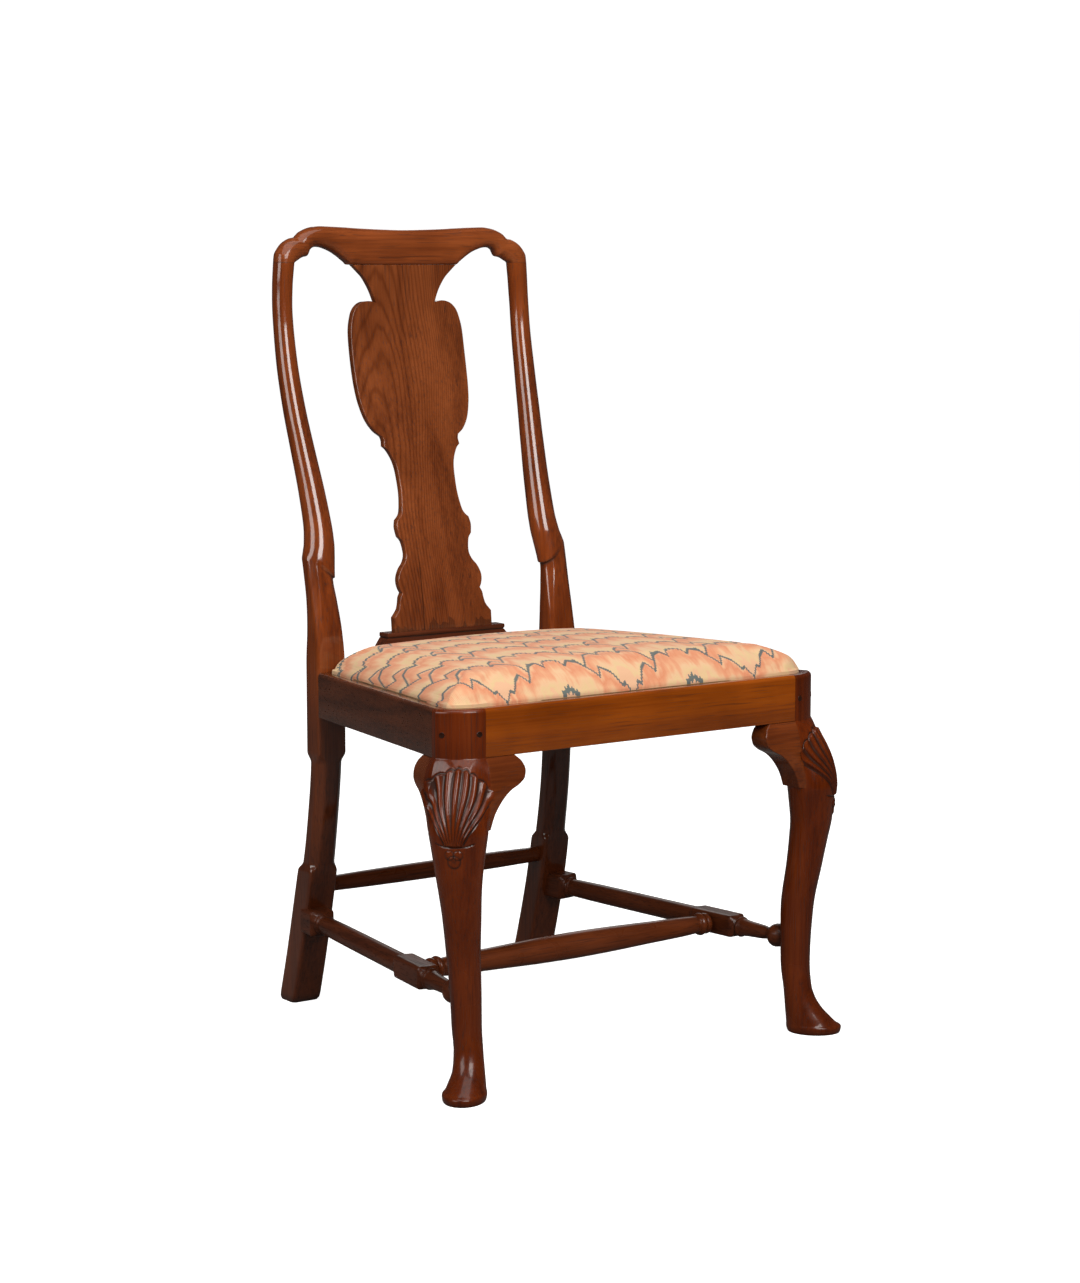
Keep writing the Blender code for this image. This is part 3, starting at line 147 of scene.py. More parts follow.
# Rear posts: each is one length of walnut sawn to an S, leg below and back stile above. The stile is
# rounded over from a carved knuckle up, the rest is square with chamfered corners. The seat rails and
# stretchers are tenoned into it, and the crest sits on its top.
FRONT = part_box("front_seat_rail")[0][1]
POST_X = 0.180
POST_Y = 0.4365
SEAT_BACK = 0.4407
CREST_JOINT = 0.953
BLOCK_BOTTOM = 0.3397
BACK_LEAN = 0.095
LEAN_START, LEAN_RUN = 0.018, 0.937
LEG_SWEEP = 0.068
SWEEP_POWER = 1.6
FLAT_POWER = 26
POST_COLUMNS = 120
# Height, shift outwards, half width, half depth and chamfer of the square part
SQUARE_PART = np.array([
    (0.0000, 0.0040, 0.0195, 0.0170, 0.0040), (0.0040, 0.0040, 0.0203, 0.0188, 0.0022),
    (0.0140, 0.0040, 0.0205, 0.0192, 0.0016), (0.1019, 0.0040, 0.0205, 0.0185, 0.0016),
    (0.1790, 0.0030, 0.0205, 0.0175, 0.0016), (0.1910, 0.0021, 0.0190, 0.0166, 0.0085),
    (0.2514, 0.0013, 0.0187, 0.0165, 0.0090), (0.3225, 0.0001, 0.0186, 0.0161, 0.0085),
    (0.3370, 0.0000, 0.0205, 0.0160, 0.0014), (0.4499, 0.0000, 0.0205, 0.0160, 0.0014),
    (0.4899, -0.0003, 0.0198, 0.0158, 0.0046), (0.5298, 0.0007, 0.0185, 0.0150, 0.0074),
    (0.5534, 0.0018, 0.0180, 0.0147, 0.0086), (0.6200, 0.0018, 0.0180, 0.0147, 0.0086),
    (0.9530, 0.0018, 0.0180, 0.0147, 0.0086)])
# Height, shift outwards, half width and half depth of the rounded part
ROUND_PART = np.array([
    (0.0000, 0.0000, 0.0196, 0.0158), (0.5480, 0.0000, 0.0196, 0.0158),
    (0.5590, -0.0003, 0.0201, 0.0163), (0.5862, -0.0025, 0.02125, 0.0180),
    (0.6000, -0.0052, 0.0198, 0.0185), (0.6231, -0.0069, 0.01815, 0.01815),
    (0.6600, -0.0060, 0.01705, 0.01705), (0.7168, -0.0025, 0.01565, 0.01565),
    (0.7701, 0.0010, 0.01465, 0.01465), (0.8300, 0.0030, 0.0136, 0.0136),
    (0.8869, 0.0032, 0.0129, 0.0129), (0.9248, 0.0018, 0.0132, 0.0132), (0.9530, -0.0005, 0.0137, 0.0137)])
KNUCKLE = 0.571
KNUCKLE_SLANT = 0.015


def smooth_step(t):
    """Rises from 0 to 1 with level ends."""
    t = np.clip(t, 0.0, 1.0)
    return t * t * (3 - 2 * t)


def flow(table, at):
    """Columns of a table of stations read between its rows: cubic pieces whose slope at a station is the
    weighted harmonic mean of the slopes on both sides, so the line never overshoots."""
    knots, values = table[:, 0], table[:, 1:]
    step = np.diff(knots)[:, None]
    rise = np.diff(values, axis=0) / step
    before, after = 2 * step[1:] + step[:-1], step[1:] + 2 * step[:-1]
    same = rise[:-1] * rise[1:] > 0
    safe_low = np.where(same, rise[:-1], 1.0)
    safe_high = np.where(same, rise[1:], 1.0)
    slope = np.where(same, (before + after) / (before / safe_low + after / safe_high), 0.0)
    slope = np.vstack([rise[:1], slope, rise[-1:]])
    at = np.asarray(at, float)
    i = np.clip(np.searchsorted(knots, at) - 1, 0, len(knots) - 2)
    t = np.clip((at - knots[i]) / step[i, 0], 0.0, 1.0)[:, None]
    h = step[i]
    low, high = values[i], values[i + 1]
    return (low * (1 + 2 * t) * (1 - t) ** 2 + high * t * t * (3 - 2 * t)
            + h * slope[i] * t * (1 - t) ** 2 - h * slope[i + 1] * t * t * (1 - t))


def back_plane(height):
    """Distance behind the front rail of the middle of the back: a level-ended S up to the crest."""
    share = (height - SEAT_BACK) / (CREST_JOINT - SEAT_BACK)
    return POST_Y + BACK_LEAN * smooth_step((share - LEAN_START) / LEAN_RUN)


def rake(height):
    """Distance behind the front rail of the middle of a rear leg, which sweeps back to the floor."""
    return POST_Y + LEG_SWEEP * np.clip(1 - height / BLOCK_BOTTOM, 0.0, 1.0) ** SWEEP_POWER


def squared(turn, half_x, half_y, chamfer):
    """Reach of a chamfered bar at each bearing: a soft minimum of its flat sides and its four chamfers."""
    c, s = np.abs(np.cos(turn)), np.abs(np.sin(turn))
    chamfers = (c + s) / (half_x + half_y - chamfer)
    sides = (c / half_x) ** FLAT_POWER + (s / half_y) ** FLAT_POWER + chamfers ** FLAT_POWER
    return sides ** (-1 / FLAT_POWER)


def rounded(turn, half_x, half_y):
    """Reach of an oval bar at each bearing."""
    return ((np.cos(turn) / half_x) ** 2 + (np.sin(turn) / half_y) ** 2) ** -0.5


def skin(name, grid, finish, grime_and_painted_shade=None, sharp=38):
    """One closed piece from a grid of points: rows run along it, columns run round it and meet, and the
    first and last row are closed with a flat face. Grime and painted shade darken a point from 0 to 1."""
    rows, columns = grid.shape[:2]
    index = np.arange(rows * columns).reshape(rows, columns)
    after = np.roll(index, -1, axis=1)
    quads = np.stack([index[:-1], after[:-1], after[1:], index[1:]], axis=-1).reshape(-1, 4)
    faces = quads.tolist() + [index[0, ::-1].tolist(), index[-1].tolist()]
    return piece_of(name, grid.reshape(-1, 3), faces, finish, grime_and_painted_shade, sharp)


def piece_of(name, points, faces, finish, grime_and_painted_shade=None, sharp=38):
    """Puts points and faces into a mesh at the origin, moved from the front rail's face to the frame."""
    mesh = bpy.data.meshes.new(name)
    mesh.from_pydata((points + (0.0, FRONT, 0.0)).tolist(), [], faces)
    mesh.materials.append(finish)
    mesh.shade_smooth()
    mesh.set_sharp_from_angle(angle=math.radians(sharp))
    # The point attribute holds painted shade and grime, which darken the wood
    if grime_and_painted_shade is not None:
        layer = mesh.attributes.new("grime_and_painted_shade", "FLOAT", "POINT")
        layer.data.foreach_set("value", np.clip(grime_and_painted_shade, 0.0, 1.0).ravel().astype(np.float32))
    piece = bpy.data.objects.new(name, mesh)
    bpy.context.collection.objects.link(piece)
    return piece


def handed(hand, grid):
    """A right-hand grid as it is, or its left-hand twin with the columns turned round to face outwards."""
    return grid[:, ::-1] * (-1, 1, 1) if hand == "left" else grid


def join(piece, stands_for, body="chair_frame"):
    """Lets a piece ride a body in place of a CAD node, which it hides."""
    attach(piece, body)
    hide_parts(stands_for)


def ramp(tree, amount, stops):
    """A colour ramp in straight stretches through stops of place and colour."""
    made = node(tree, "ValToRGB", {"Fac": amount})
    while len(made.color_ramp.elements) < len(stops):
        made.color_ramp.elements.new(0.5)
    for element, (place, colour) in zip(made.color_ramp.elements, stops):
        element.position = place
        element.color = (*colour, 1)
    return made.outputs["Color"]


def walnut(name, dark, middle, light, grain, seed, stretch=0.05, gloss=0.16, coat=0.35, specular=0.18):
    """Polished old walnut. Growth bands are contour lines of a noise drawn out along the grain; fine
    fibres and dark pores lie over them, slow patches shift the tone, and a point attribute of painted
    shade and grime darkens hollows, joints and lower parts."""
    finish, tree, shader = new_finish(name)
    place = node(tree, "TexCoord").outputs["Object"]
    along = [stretch if axis == grain else 1.0 for axis in "XYZ"]
    fine = [stretch * 0.5 if axis == grain else 1.0 for axis in "XYZ"]
    shift = (seed * 1.3, seed * 0.7, seed * 0.9)
    drawn = node(tree, "Mapping", {"Vector": place, "Location": shift, "Scale": along}).outputs[0]
    threads = node(tree, "Mapping", {"Vector": place, "Location": shift, "Scale": fine}).outputs[0]
    slow = node(tree, "TexNoise", {"Vector": drawn, "Scale": 9.0, "Detail": 2.0, "Distortion": 0.25})
    rings = sums(tree, "SINE", sums(tree, "MULTIPLY", slow.outputs[0], 46.0))
    bands = sums(tree, "MULTIPLY_ADD", rings, 0.5, 0.5)
    fibre = node(tree, "TexNoise", {"Vector": threads, "Scale": 330.0, "Detail": 3.0}).outputs[0]
    patch = node(tree, "TexNoise", {"Vector": place, "Scale": 11.0, "Detail": 3.0}).outputs[0]
    pore = node(tree, "TexNoise", {"Vector": threads, "Scale": 760.0, "Detail": 1.0}).outputs[0]
    pores = ramp(tree, pore, [(0.0, (1, 1, 1)), (0.33, (1, 1, 1)), (0.40, (0, 0, 0)), (1.0, (0, 0, 0))])
    level = sums(tree, "MULTIPLY_ADD", bands, 0.24, sums(tree, "MULTIPLY", fibre, 0.62))
    wood = ramp(tree, level, [(0.10, dark), (0.45, middle), (0.85, light)])
    mottle = ramp(tree, patch, [(0.32, (0.78, 0.74, 0.70)), (0.64, (1.06, 1.05, 1.04))])
    wood = tint(tree, 1.0, wood, mottle, "MULTIPLY")
    wood = tint(tree, sums(tree, "MULTIPLY", pores, 0.45), wood, tuple(c * 0.3 for c in dark) + (1,))
    # Painted shade and grime from the point attribute darken the wood towards near black
    painted_shade_and_grime = node(tree, "Attribute", attribute_name="grime_and_painted_shade").outputs["Fac"]
    wood = tint(tree, painted_shade_and_grime, wood, (0.012, 0.005, 0.003, 1))
    matt = sums(tree, "MULTIPLY_ADD", patch, 0.14, sums(tree, "MULTIPLY_ADD", painted_shade_and_grime, 0.3, gloss - 0.05))
    hand = node(tree, "TexNoise", {"Vector": drawn, "Scale": 34.0, "Detail": 2.0}).outputs[0]
    surface = sums(tree, "MULTIPLY_ADD", hand, 0.5, sums(tree, "MULTIPLY", pores, -0.12))
    bump = node(tree, "Bump", {"Height": surface, "Strength": 0.05, "Distance": 0.0010}).outputs[0]
    matt = sums(tree, "MULTIPLY_ADD", pores, 0.2, matt)
    feed(tree, shader, base_color=wood, roughness=matt, normal=bump, specular_ior_level=specular,
         coat_weight=coat, coat_roughness=0.07)
    return finish


def levels(*runs):
    """Heights along a piece. Each run gives its start, its end and how many heights it holds."""
    return np.unique(np.concatenate([np.linspace(*run) for run in runs]))


def bearings(count):
    """A row of evenly spaced bearings round a bar."""
    return ((np.arange(count) + 0.5) * 2 * math.pi / count)[None, :]


post_z = levels((0, 0.016, 10), (0.016, 0.17, 24), (0.17, 0.20, 22), (0.20, 0.315, 20), (0.315, 0.345, 22),
                (0.345, 0.54, 34), (0.54, 0.605, 90), (0.605, CREST_JOINT, 90))
square_at = flow(SQUARE_PART, post_z)
round_at = flow(ROUND_PART, post_z)
turn = bearings(POST_COLUMNS)
square_reach = squared(turn, square_at[:, 1:2], square_at[:, 2:3], square_at[:, 3:4])
round_reach = rounded(turn, round_at[:, 1:2], round_at[:, 2:3])
knuckle_run = 0.0052 + 0.0038 * np.cos(turn)
knuckle_at = KNUCKLE + KNUCKLE_SLANT * np.cos(turn) - knuckle_run / 2
above = smooth_step((post_z[:, None] - knuckle_at) / knuckle_run)
post_grid = np.zeros((len(post_z), POST_COLUMNS, 3))
post_grid[..., 0] = POST_X + ((square_at[:, :1] + square_reach * np.cos(turn)) * (1 - above)
                              + (round_at[:, :1] + round_reach * np.cos(turn)) * above)
post_line = np.where(post_z < SEAT_BACK, rake(post_z), back_plane(post_z))[:, None]
post_grid[..., 1] = post_line + np.sin(turn) * (square_reach * (1 - above) + round_reach * above)
post_grid[..., 2] = post_z[:, None]
# Painted shade in the notch on the inner side of the knuckle
knuckle_gap = (post_z[:, None] - knuckle_at - knuckle_run * 0.2) / 0.0022
post_shade_and_grime = 0.8 * np.exp(-knuckle_gap ** 2) * np.clip(0.35 - np.cos(turn), 0, 1)
# A darker foot
post_shade_and_grime += 0.35 * np.exp(-((post_z[:, None] - 0.002) / 0.006) ** 2)
# Painted shade below the seat rail, where the seat shades the post
post_shade_and_grime += 0.42 * (1 - smooth_step((post_z[:, None] - 0.37) / 0.09))

for hand, seed in (("left", 1.0), ("right", 4.3)):
    finish = walnut(hand + "_post_walnut", (0.075, 0.0135, 0.0025), (0.185, 0.0370, 0.0062),
                    (0.250, 0.0560, 0.0110), "Z", seed, coat=0.9)
    painted_shade_and_grime = post_shade_and_grime[:, ::-1] if hand == "left" else post_shade_and_grime
    join(skin(hand + "_post", handed(hand, post_grid), finish, painted_shade_and_grime, sharp=50), hand + "_rear_post")


# Rear seat rail: a walnut bar tenoned between the posts, with a step along its front for the slip seat.
# The shoe stands on its top.
SEAT_HEIGHT = 0.452
SEAT_DROP = 0.0113
SEAT_DEPTH = 0.4205
RAIL_BOTTOM = 0.395
LEDGE = 0.438
REAR_HALF = 0.1592
REAR_INSIDE = 0.4055
REAR_STEP = 0.4175
REAR_OUTSIDE = 0.4505
REAR_TOP = SEAT_HEIGHT + 0.0001


def tilted(points):
    """Lowers points with their distance behind the front rail, because the seat falls to the back."""
    points[..., 2] -= SEAT_DROP * points[..., 1] / SEAT_DEPTH
    return points


def bevelled(corners, size, steps=3):
    """A closed outline with each corner replaced by a short arc: from size before the corner to size
    after it, along a parabola. One size may be given for each corner."""
    corners = np.asarray(corners, float)
    size = np.broadcast_to(size, len(corners))[:, None]
    back = np.roll(corners, 1, axis=0) - corners
    ahead = np.roll(corners, -1, axis=0) - corners
    start = corners + back / np.linalg.norm(back, axis=1)[:, None] * size
    end = corners + ahead / np.linalg.norm(ahead, axis=1)[:, None] * size
    t = np.linspace(0, 1, steps + 1)[None, :, None]
    arc = start[:, None] * (1 - t) ** 2 + 2 * corners[:, None] * t * (1 - t) + end[:, None] * t * t
    return arc.reshape(-1, 2)


rear_profile = bevelled([(REAR_INSIDE, RAIL_BOTTOM), (REAR_OUTSIDE, RAIL_BOTTOM), (REAR_OUTSIDE, REAR_TOP),
                         (REAR_STEP, REAR_TOP), (REAR_STEP, LEDGE), (REAR_INSIDE, LEDGE)], 0.0010)
across = np.linspace(-REAR_HALF, REAR_HALF, 40)
rear_grid = np.zeros((len(across), len(rear_profile), 3))
rear_grid[..., 0] = across[:, None]
rear_grid[..., 1:] = rear_profile
rear_grid = tilted(rear_grid)
# The top under the shoe is planed level
on_top = rear_profile[:, 1] > (LEDGE + SEAT_HEIGHT) / 2
rear_grid[:, on_top, 2] = np.minimum(rear_grid[:, on_top, 2], SEAT_BACK)
dark_walnut = walnut("dark_walnut", (0.028, 0.0070, 0.0030), (0.070, 0.0175, 0.0065), (0.105, 0.0290, 0.0105),
                     "X", 7.0)
join(skin("rear_rail", rear_grid, dark_walnut), "rear_seat_rail")


# Shoe: a dark walnut moulding glued and nailed on the rear rail, with sloping sides below a fillet. It is
# mitred round both ends, and the foot of the splat drops into its socket.
SHOE_TOP = 0.4785
SHOE_STRETCH = 1.08
SHOE_SIDE_POINTS = 30
SPLAT_SETBACK = 0.004


def splat_line(height):
    """Distance behind the front rail of the middle of the splat. Its foot stands back from the posts' line
    and returns to it higher up."""
    return back_plane(height) + SPLAT_SETBACK * (1 - smooth_step((height - 0.48) / 0.25))


shoe_middle = float(splat_line(SHOE_TOP))
# Height above the rail before the stretch, half length, reach forwards and reach back from the splat's middle
SHOE_PROFILE = np.array([
    (0.0003, 0.1090, 0.0178, 0.0088), (0.0008, 0.1094, 0.0181, 0.0090), (0.0058, 0.1094, 0.0181, 0.0090),
    (0.0064, 0.1088, 0.0177, 0.0090), (0.0130, 0.1046, 0.0156, 0.0090), (0.0180, 0.1008, 0.0140, 0.0090),
    (0.0230, 0.0968, 0.0125, 0.0090), (0.0285, 0.0928, 0.0110, 0.0090), (0.0312, 0.0908, 0.0103, 0.0090),
    (0.0317, 0.0898, 0.0099, 0.0090), (0.0326, 0.0898, 0.0099, 0.0090), (0.0331, 0.0905, 0.0109, 0.0092),
    (0.0345, 0.0907, 0.0112, 0.0092), (0.0368, 0.0906, 0.0112, 0.0092), (0.0378, 0.0902, 0.0107, 0.0088)])
SHOE_GROOVE = (9, 10)
side_t = 2 * np.linspace(0, 1, SHOE_SIDE_POINTS, endpoint=False) - 1
end_t = np.ones(SHOE_SIDE_POINTS)
corner_x = np.concatenate([side_t, end_t, -side_t, -end_t])
corner_y = np.concatenate([-end_t, side_t, end_t, -side_t])
shoe_reach = np.where(corner_y < 0, SHOE_PROFILE[:, 2:3], SHOE_PROFILE[:, 3:4])
shoe_grid = np.zeros((len(SHOE_PROFILE), len(corner_x), 3))
shoe_grid[..., 0] = SHOE_PROFILE[:, 1:2] * corner_x
shoe_grid[..., 1] = shoe_middle + shoe_reach * corner_y
shoe_grid[..., 2] = SEAT_BACK + SHOE_PROFILE[:, :1] * SHOE_STRETCH
# Painted shade in the groove under the fillet
shoe_groove_shade = np.zeros(shoe_grid.shape[:2])
shoe_groove_shade[SHOE_GROOVE, :] = 0.85
shoe_walnut = walnut("shoe_walnut", (0.036, 0.0085, 0.0035), (0.092, 0.0225, 0.0085), (0.140, 0.0380, 0.0145),
                     "X", 8.0)
join(skin("shoe", shoe_grid, shoe_walnut, shoe_groove_shade, sharp=28), "splat_shoe")


# Splat: a thin vase-shaped board of figured walnut, bent to the line of the posts. Its edge is sawn in
# smooth runs that meet at sharp points, its foot stands in the shoe and its top in the crest.
SPLAT_TOP = 0.9505
SPLAT_HALF = 0.087
SPLAT_THIN = 0.00475
SPLAT_EASE = 0.0011
GLUE_GAP = 0.0003
# Edge of the right half in runs from the top down, as shares of the half width and of the rise
SPLAT_RUNS = [
    [(0.920, 1.000), (0.817, 0.983), (0.709, 0.963), (0.598, 0.930), (0.520, 0.894)],
    [(0.520, 0.894), (0.580, 0.899), (0.690, 0.901), (0.810, 0.894), (0.900, 0.878), (0.950, 0.856),
     (0.990, 0.820), (1.000, 0.762), (0.998, 0.700), (0.985, 0.655), (0.955, 0.617), (0.890, 0.577),
     (0.790, 0.548), (0.676, 0.531)],
    [(0.676, 0.531), (0.662, 0.520), (0.671, 0.505)],
    [(0.671, 0.505), (0.610, 0.494), (0.545, 0.471), (0.510, 0.447), (0.497, 0.414), (0.499, 0.374),
     (0.532, 0.334), (0.570, 0.317), (0.638, 0.305)],
    [(0.638, 0.305), (0.660, 0.285), (0.643, 0.261)],
    [(0.643, 0.261), (0.585, 0.246), (0.559, 0.213), (0.600, 0.191), (0.680, 0.173), (0.732, 0.153),
     (0.742, 0.136), (0.722, 0.120), (0.693, 0.110)],
    [(0.693, 0.110), (0.730, 0.097), (0.748, 0.080), (0.775, 0.065), (0.820, 0.054), (0.866, 0.044)],
    [(0.866, 0.044), (0.866, 0.020), (0.866, 0.000)],
]


def smooth_run(points, steps):
    """A Catmull-Rom curve through points, with steps pieces between each pair."""
    knots = np.array(points, float)
    padded = np.vstack([2 * knots[0] - knots[1], knots, 2 * knots[-1] - knots[-2]])
    t = (np.arange(steps) / steps)[None, :, None]
    a, b, c, d = (padded[k:len(knots) - 1 + k][:, None] for k in range(4))
    square, cube = 2 * a - 5 * b + 4 * c - d, 3 * b - a - 3 * c + d
    curve = 0.5 * (2 * b + (c - a) * t + square * t ** 2 + cube * t ** 3)
    return np.vstack([curve.reshape(-1, knots.shape[1]), knots[-1:]])


edge, spine = [], []
for run in SPLAT_RUNS:
    line = smooth_run(run, 7)
    edge.append(line[:-1])
    spine.append(np.linspace(run[0][1], run[-1][1], len(line))[:-1])
edge = np.vstack(edge + [[SPLAT_RUNS[-1][-1]]])[::-1]
spine = np.concatenate(spine + [[0.0]])[::-1]
share = np.sin(np.linspace(0, 1, 26) * math.pi / 2)
# How far the eased edge lies in from the outline and from the face
easing = np.array([(SPLAT_EASE, 0.0), (0.0006, 0.00012), (0.0002, 0.0005), (0.0, SPLAT_EASE)])
# One line across the right half: out along the face, round the edge, and back along the other face
out_share = np.concatenate([share[:-1], np.ones(8), share[-2::-1]])
pull_in = np.concatenate([SPLAT_EASE * share[:-1], easing[:, 0], easing[::-1, 0], SPLAT_EASE * share[-2::-1]])
flat_face = np.ones(len(share) - 1)
eased = 1 - easing[:, 1] / SPLAT_THIN
depth = np.concatenate([-flat_face, -eased, eased[::-1], flat_face])
splat_rise = SPLAT_TOP - SHOE_TOP - GLUE_GAP
reach_x = edge[:, :1] * SPLAT_HALF * out_share - pull_in
height = spine[:, None] + (edge[:, 1:] - spine[:, None]) * out_share ** 4
right_half = np.stack([np.maximum(reach_x, 0.0), np.broadcast_to(depth, reach_x.shape), height], axis=-1)
left_half = right_half[:, -2:0:-1] * (-1, 1, 1)
splat_grid = np.concatenate([right_half, left_half], axis=1)
splat_grid[..., 2] = SHOE_TOP + GLUE_GAP + splat_grid[..., 2] * splat_rise
splat_grid[..., 1] = splat_line(splat_grid[..., 2]) + splat_grid[..., 1] * SPLAT_THIN


def figured_walnut(name):
    """Figured walnut for a wide thin board: arched growth lines round one axis on the left, long lines
    that lean to the right lower down, a crack up the left side and dark blots along the foot."""
    finish = walnut(name, (0.090, 0.0205, 0.0060), (0.182, 0.0455, 0.0122), (0.240, 0.0650, 0.0188),
                    "Z", 9.0, 0.045)
    tree = finish.node_tree
    shader = tree.nodes["Principled BSDF"]
    base = shader.inputs["Base Color"].links[0].from_socket
    place = node(tree, "TexCoord").outputs["Object"]
    split = node(tree, "SeparateXYZ", {"Vector": place})
    x, z = split.outputs["X"], split.outputs["Z"]

    def fade(low, high, start, end, kind="LINEAR"):
        """A number that goes from start to end between two heights."""
        return node(tree, "MapRange", {"Value": z, "From Min": low, "From Max": high, "To Min": start,
                                       "To Max": end}, interpolation_type=kind).outputs[0]

    def cloud(upright, scale, detail):
        """Noise drawn out along the height."""
        drawn = node(tree, "Mapping", {"Vector": place, "Scale": (1, 1, upright)}).outputs[0]
        return node(tree, "TexNoise", {"Vector": drawn, "Scale": scale, "Detail": detail}).outputs[0]

    off = sums(tree, "ADD", sums(tree, "ADD", x, 0.047), fade(0.56, 0.86, 0.055, 0.0, "SMOOTHSTEP"))
    bow = sums(tree, "MULTIPLY", sums(tree, "MULTIPLY", off, off), 19.0)
    wobble = cloud(0.12, 26.0, 3.0)
    phase = sums(tree, "ADD", sums(tree, "ADD", bow, sums(tree, "MULTIPLY", z, 0.30)),
                 sums(tree, "MULTIPLY", wobble, 0.034))
    line = sums(tree, "MULTIPLY_ADD", sums(tree, "SINE", sums(tree, "MULTIPLY", phase, 520.0)), 0.5, 0.5)
    arches = ramp(tree, line, [(0.0, (0.66, 0.60, 0.54)), (0.30, (0.92, 0.91, 0.89)),
                               (1.0, (1.04, 1.04, 1.04))])
    figure = tint(tree, 0.85, base, arches, "MULTIPLY")
    crack = sums(tree, "ABSOLUTE", sums(tree, "ADD", x, sums(tree, "MULTIPLY_ADD", wobble, 0.003, 0.0285)))
    low = fade(0.555, 0.61, 1.0, 0.0)
    crack = sums(tree, "MULTIPLY", sums(tree, "LESS_THAN", crack, 0.0006), sums(tree, "MULTIPLY", low, 0.85))
    figure = tint(tree, crack, figure, (0.020, 0.007, 0.003, 1))
    stain = sums(tree, "ADD", fade(0.480, 0.512, 0.62, 0.0), cloud(0.35, 75.0, 2.0))
    stain = sums(tree, "GREATER_THAN", stain, 1.02)
    figure = tint(tree, sums(tree, "MULTIPLY", stain, 0.5), figure, (0.030, 0.010, 0.005, 1))
    feed(tree, shader, base_color=figure)
    return finish


join(skin("vase_splat", splat_grid, figured_walnut("figured_walnut"), sharp=40), "splat")


# Crest rail: the yoke that caps the back, sawn from one walnut board and rounded by hand. Its drooping
# ears sit on round tenons of the posts, and the splat is tongued into its middle.
POST_SPREAD = 0.1795
CREST_DEPTH = 0.026
CREST_BOW = 0.004
CREST_GAP = 0.00002
CREST_ROWS = 261
CREST_COLUMNS = 72
# Outer edge across and up, then inner edge across and up, as shares of the spread and as heights
CREST_EDGES = np.array([
    (1.0763, 0.0000, 0.9237, 0.0000), (1.0700, 0.0100, 0.9140, 0.0010), (1.0420, 0.0190, 0.8930, 0.0030),
    (1.0030, 0.0260, 0.8680, 0.0056), (0.9470, 0.0310, 0.8420, 0.0074), (0.9080, 0.0325, 0.8140, 0.0084),
    (0.8860, 0.0358, 0.8030, 0.0112), (0.8640, 0.0390, 0.7920, 0.0155), (0.7910, 0.0445, 0.7640, 0.0192),
    (0.7350, 0.0464, 0.7340, 0.0202), (0.6960, 0.0470, 0.6980, 0.0197), (0.6000, 0.0465, 0.6300, 0.0160),
    (0.5000, 0.0457, 0.5450, 0.0085), (0.4300, 0.0450, 0.4800, 0.0010), (0.3800, 0.0445, 0.4480, -0.0025),
    (0.1900, 0.0432, 0.2200, -0.0025), (0.0000, 0.0425, 0.0000, -0.0025)])
crest_knots = np.vstack([CREST_EDGES, CREST_EDGES[-2::-1] * (-1, 1, -1, 1)])
crest_run = np.linspace(0, len(crest_knots) - 1, CREST_ROWS)
crest_at = flow(np.column_stack([np.arange(len(crest_knots)), crest_knots]), crest_run)
outer = crest_at[:, :2] * (POST_SPREAD, 1)
inner = crest_at[:, 2:] * (POST_SPREAD, 1)
middle, reach = (outer + inner) / 2, (outer - inner) / 2
ear = np.abs(middle[:, :1]) / POST_SPREAD
crest_turn = bearings(CREST_COLUMNS)
flush = 1 - smooth_step((ear - 0.25) / 0.35)
fullness = 2 / (2.0 + 0.6 * (1 - np.clip(ear, 0, 1)) + 6 * flush * (np.cos(crest_turn) < 0))
up = np.sign(np.cos(crest_turn)) * np.abs(np.cos(crest_turn)) ** fullness
out = np.sign(np.sin(crest_turn)) * np.abs(np.sin(crest_turn)) ** fullness
crest_depth = (CREST_DEPTH + 0.0014 * ear ** 4) / 2
crest_depth = crest_depth * (1 - flush * 0.28 * smooth_step((0.45 - up) / 1.4))
crest_grid = np.zeros((CREST_ROWS, CREST_COLUMNS, 3))
crest_grid[..., 0] = middle[:, :1] + reach[:, :1] * up
crest_grid[..., 1] = back_plane(CREST_JOINT) + CREST_BOW * (1 - ear ** 4) + crest_depth * out
crest_grid[..., 2] = CREST_JOINT + CREST_GAP + middle[:, 1:] + reach[:, 1:] * up
from_joint = np.minimum(np.arange(CREST_ROWS), np.arange(CREST_ROWS)[::-1])[:, None]
crest_dirt = np.repeat(0.7 * np.exp(-(from_joint / 0.9) ** 2), CREST_COLUMNS, axis=1)
crest_walnut = walnut("crest_walnut", (0.100, 0.0210, 0.0055), (0.215, 0.0500, 0.0120),
                      (0.280, 0.0720, 0.0185), "X", 12.0)
join(skin("yoke_crest", crest_grid, crest_walnut, crest_dirt, sharp=60), "crest_rail")


# Front legs: cabriole legs sawn and carved from thick walnut, each with the square stile of the seat corner
# above, a scallop shell and a small bud on the knee, a slim ankle and a pad foot. The rails are tenoned
# into the stile, whose top carries the rounded lip and the ledge of the slip seat round the corner.
STILE_X = 0.229
CORNER_RADIUS = 0.054
CORNER_SWEEP = math.radians(64)
CORNER_X = STILE_X + CORNER_RADIUS * math.sin(CORNER_SWEEP)
CORNER_Y = CORNER_RADIUS * (1 - math.cos(CORNER_SWEEP))
CORNER = np.array([CORNER_X, CORNER_Y])
LIP_WIDTH = 0.014
LIP_ROUND = 0.005
STILE_DEPTH = 0.0305
STILE_HEART = np.array([STILE_X + 0.0206, 0.017])
LEG_X = STILE_X + 0.0175
LEG_Y = 0.0151
KNEE = 0.310
KNEE_DROP = 0.085
KNEE_PROUD = 0.012
DIAGONAL = math.radians(-45)
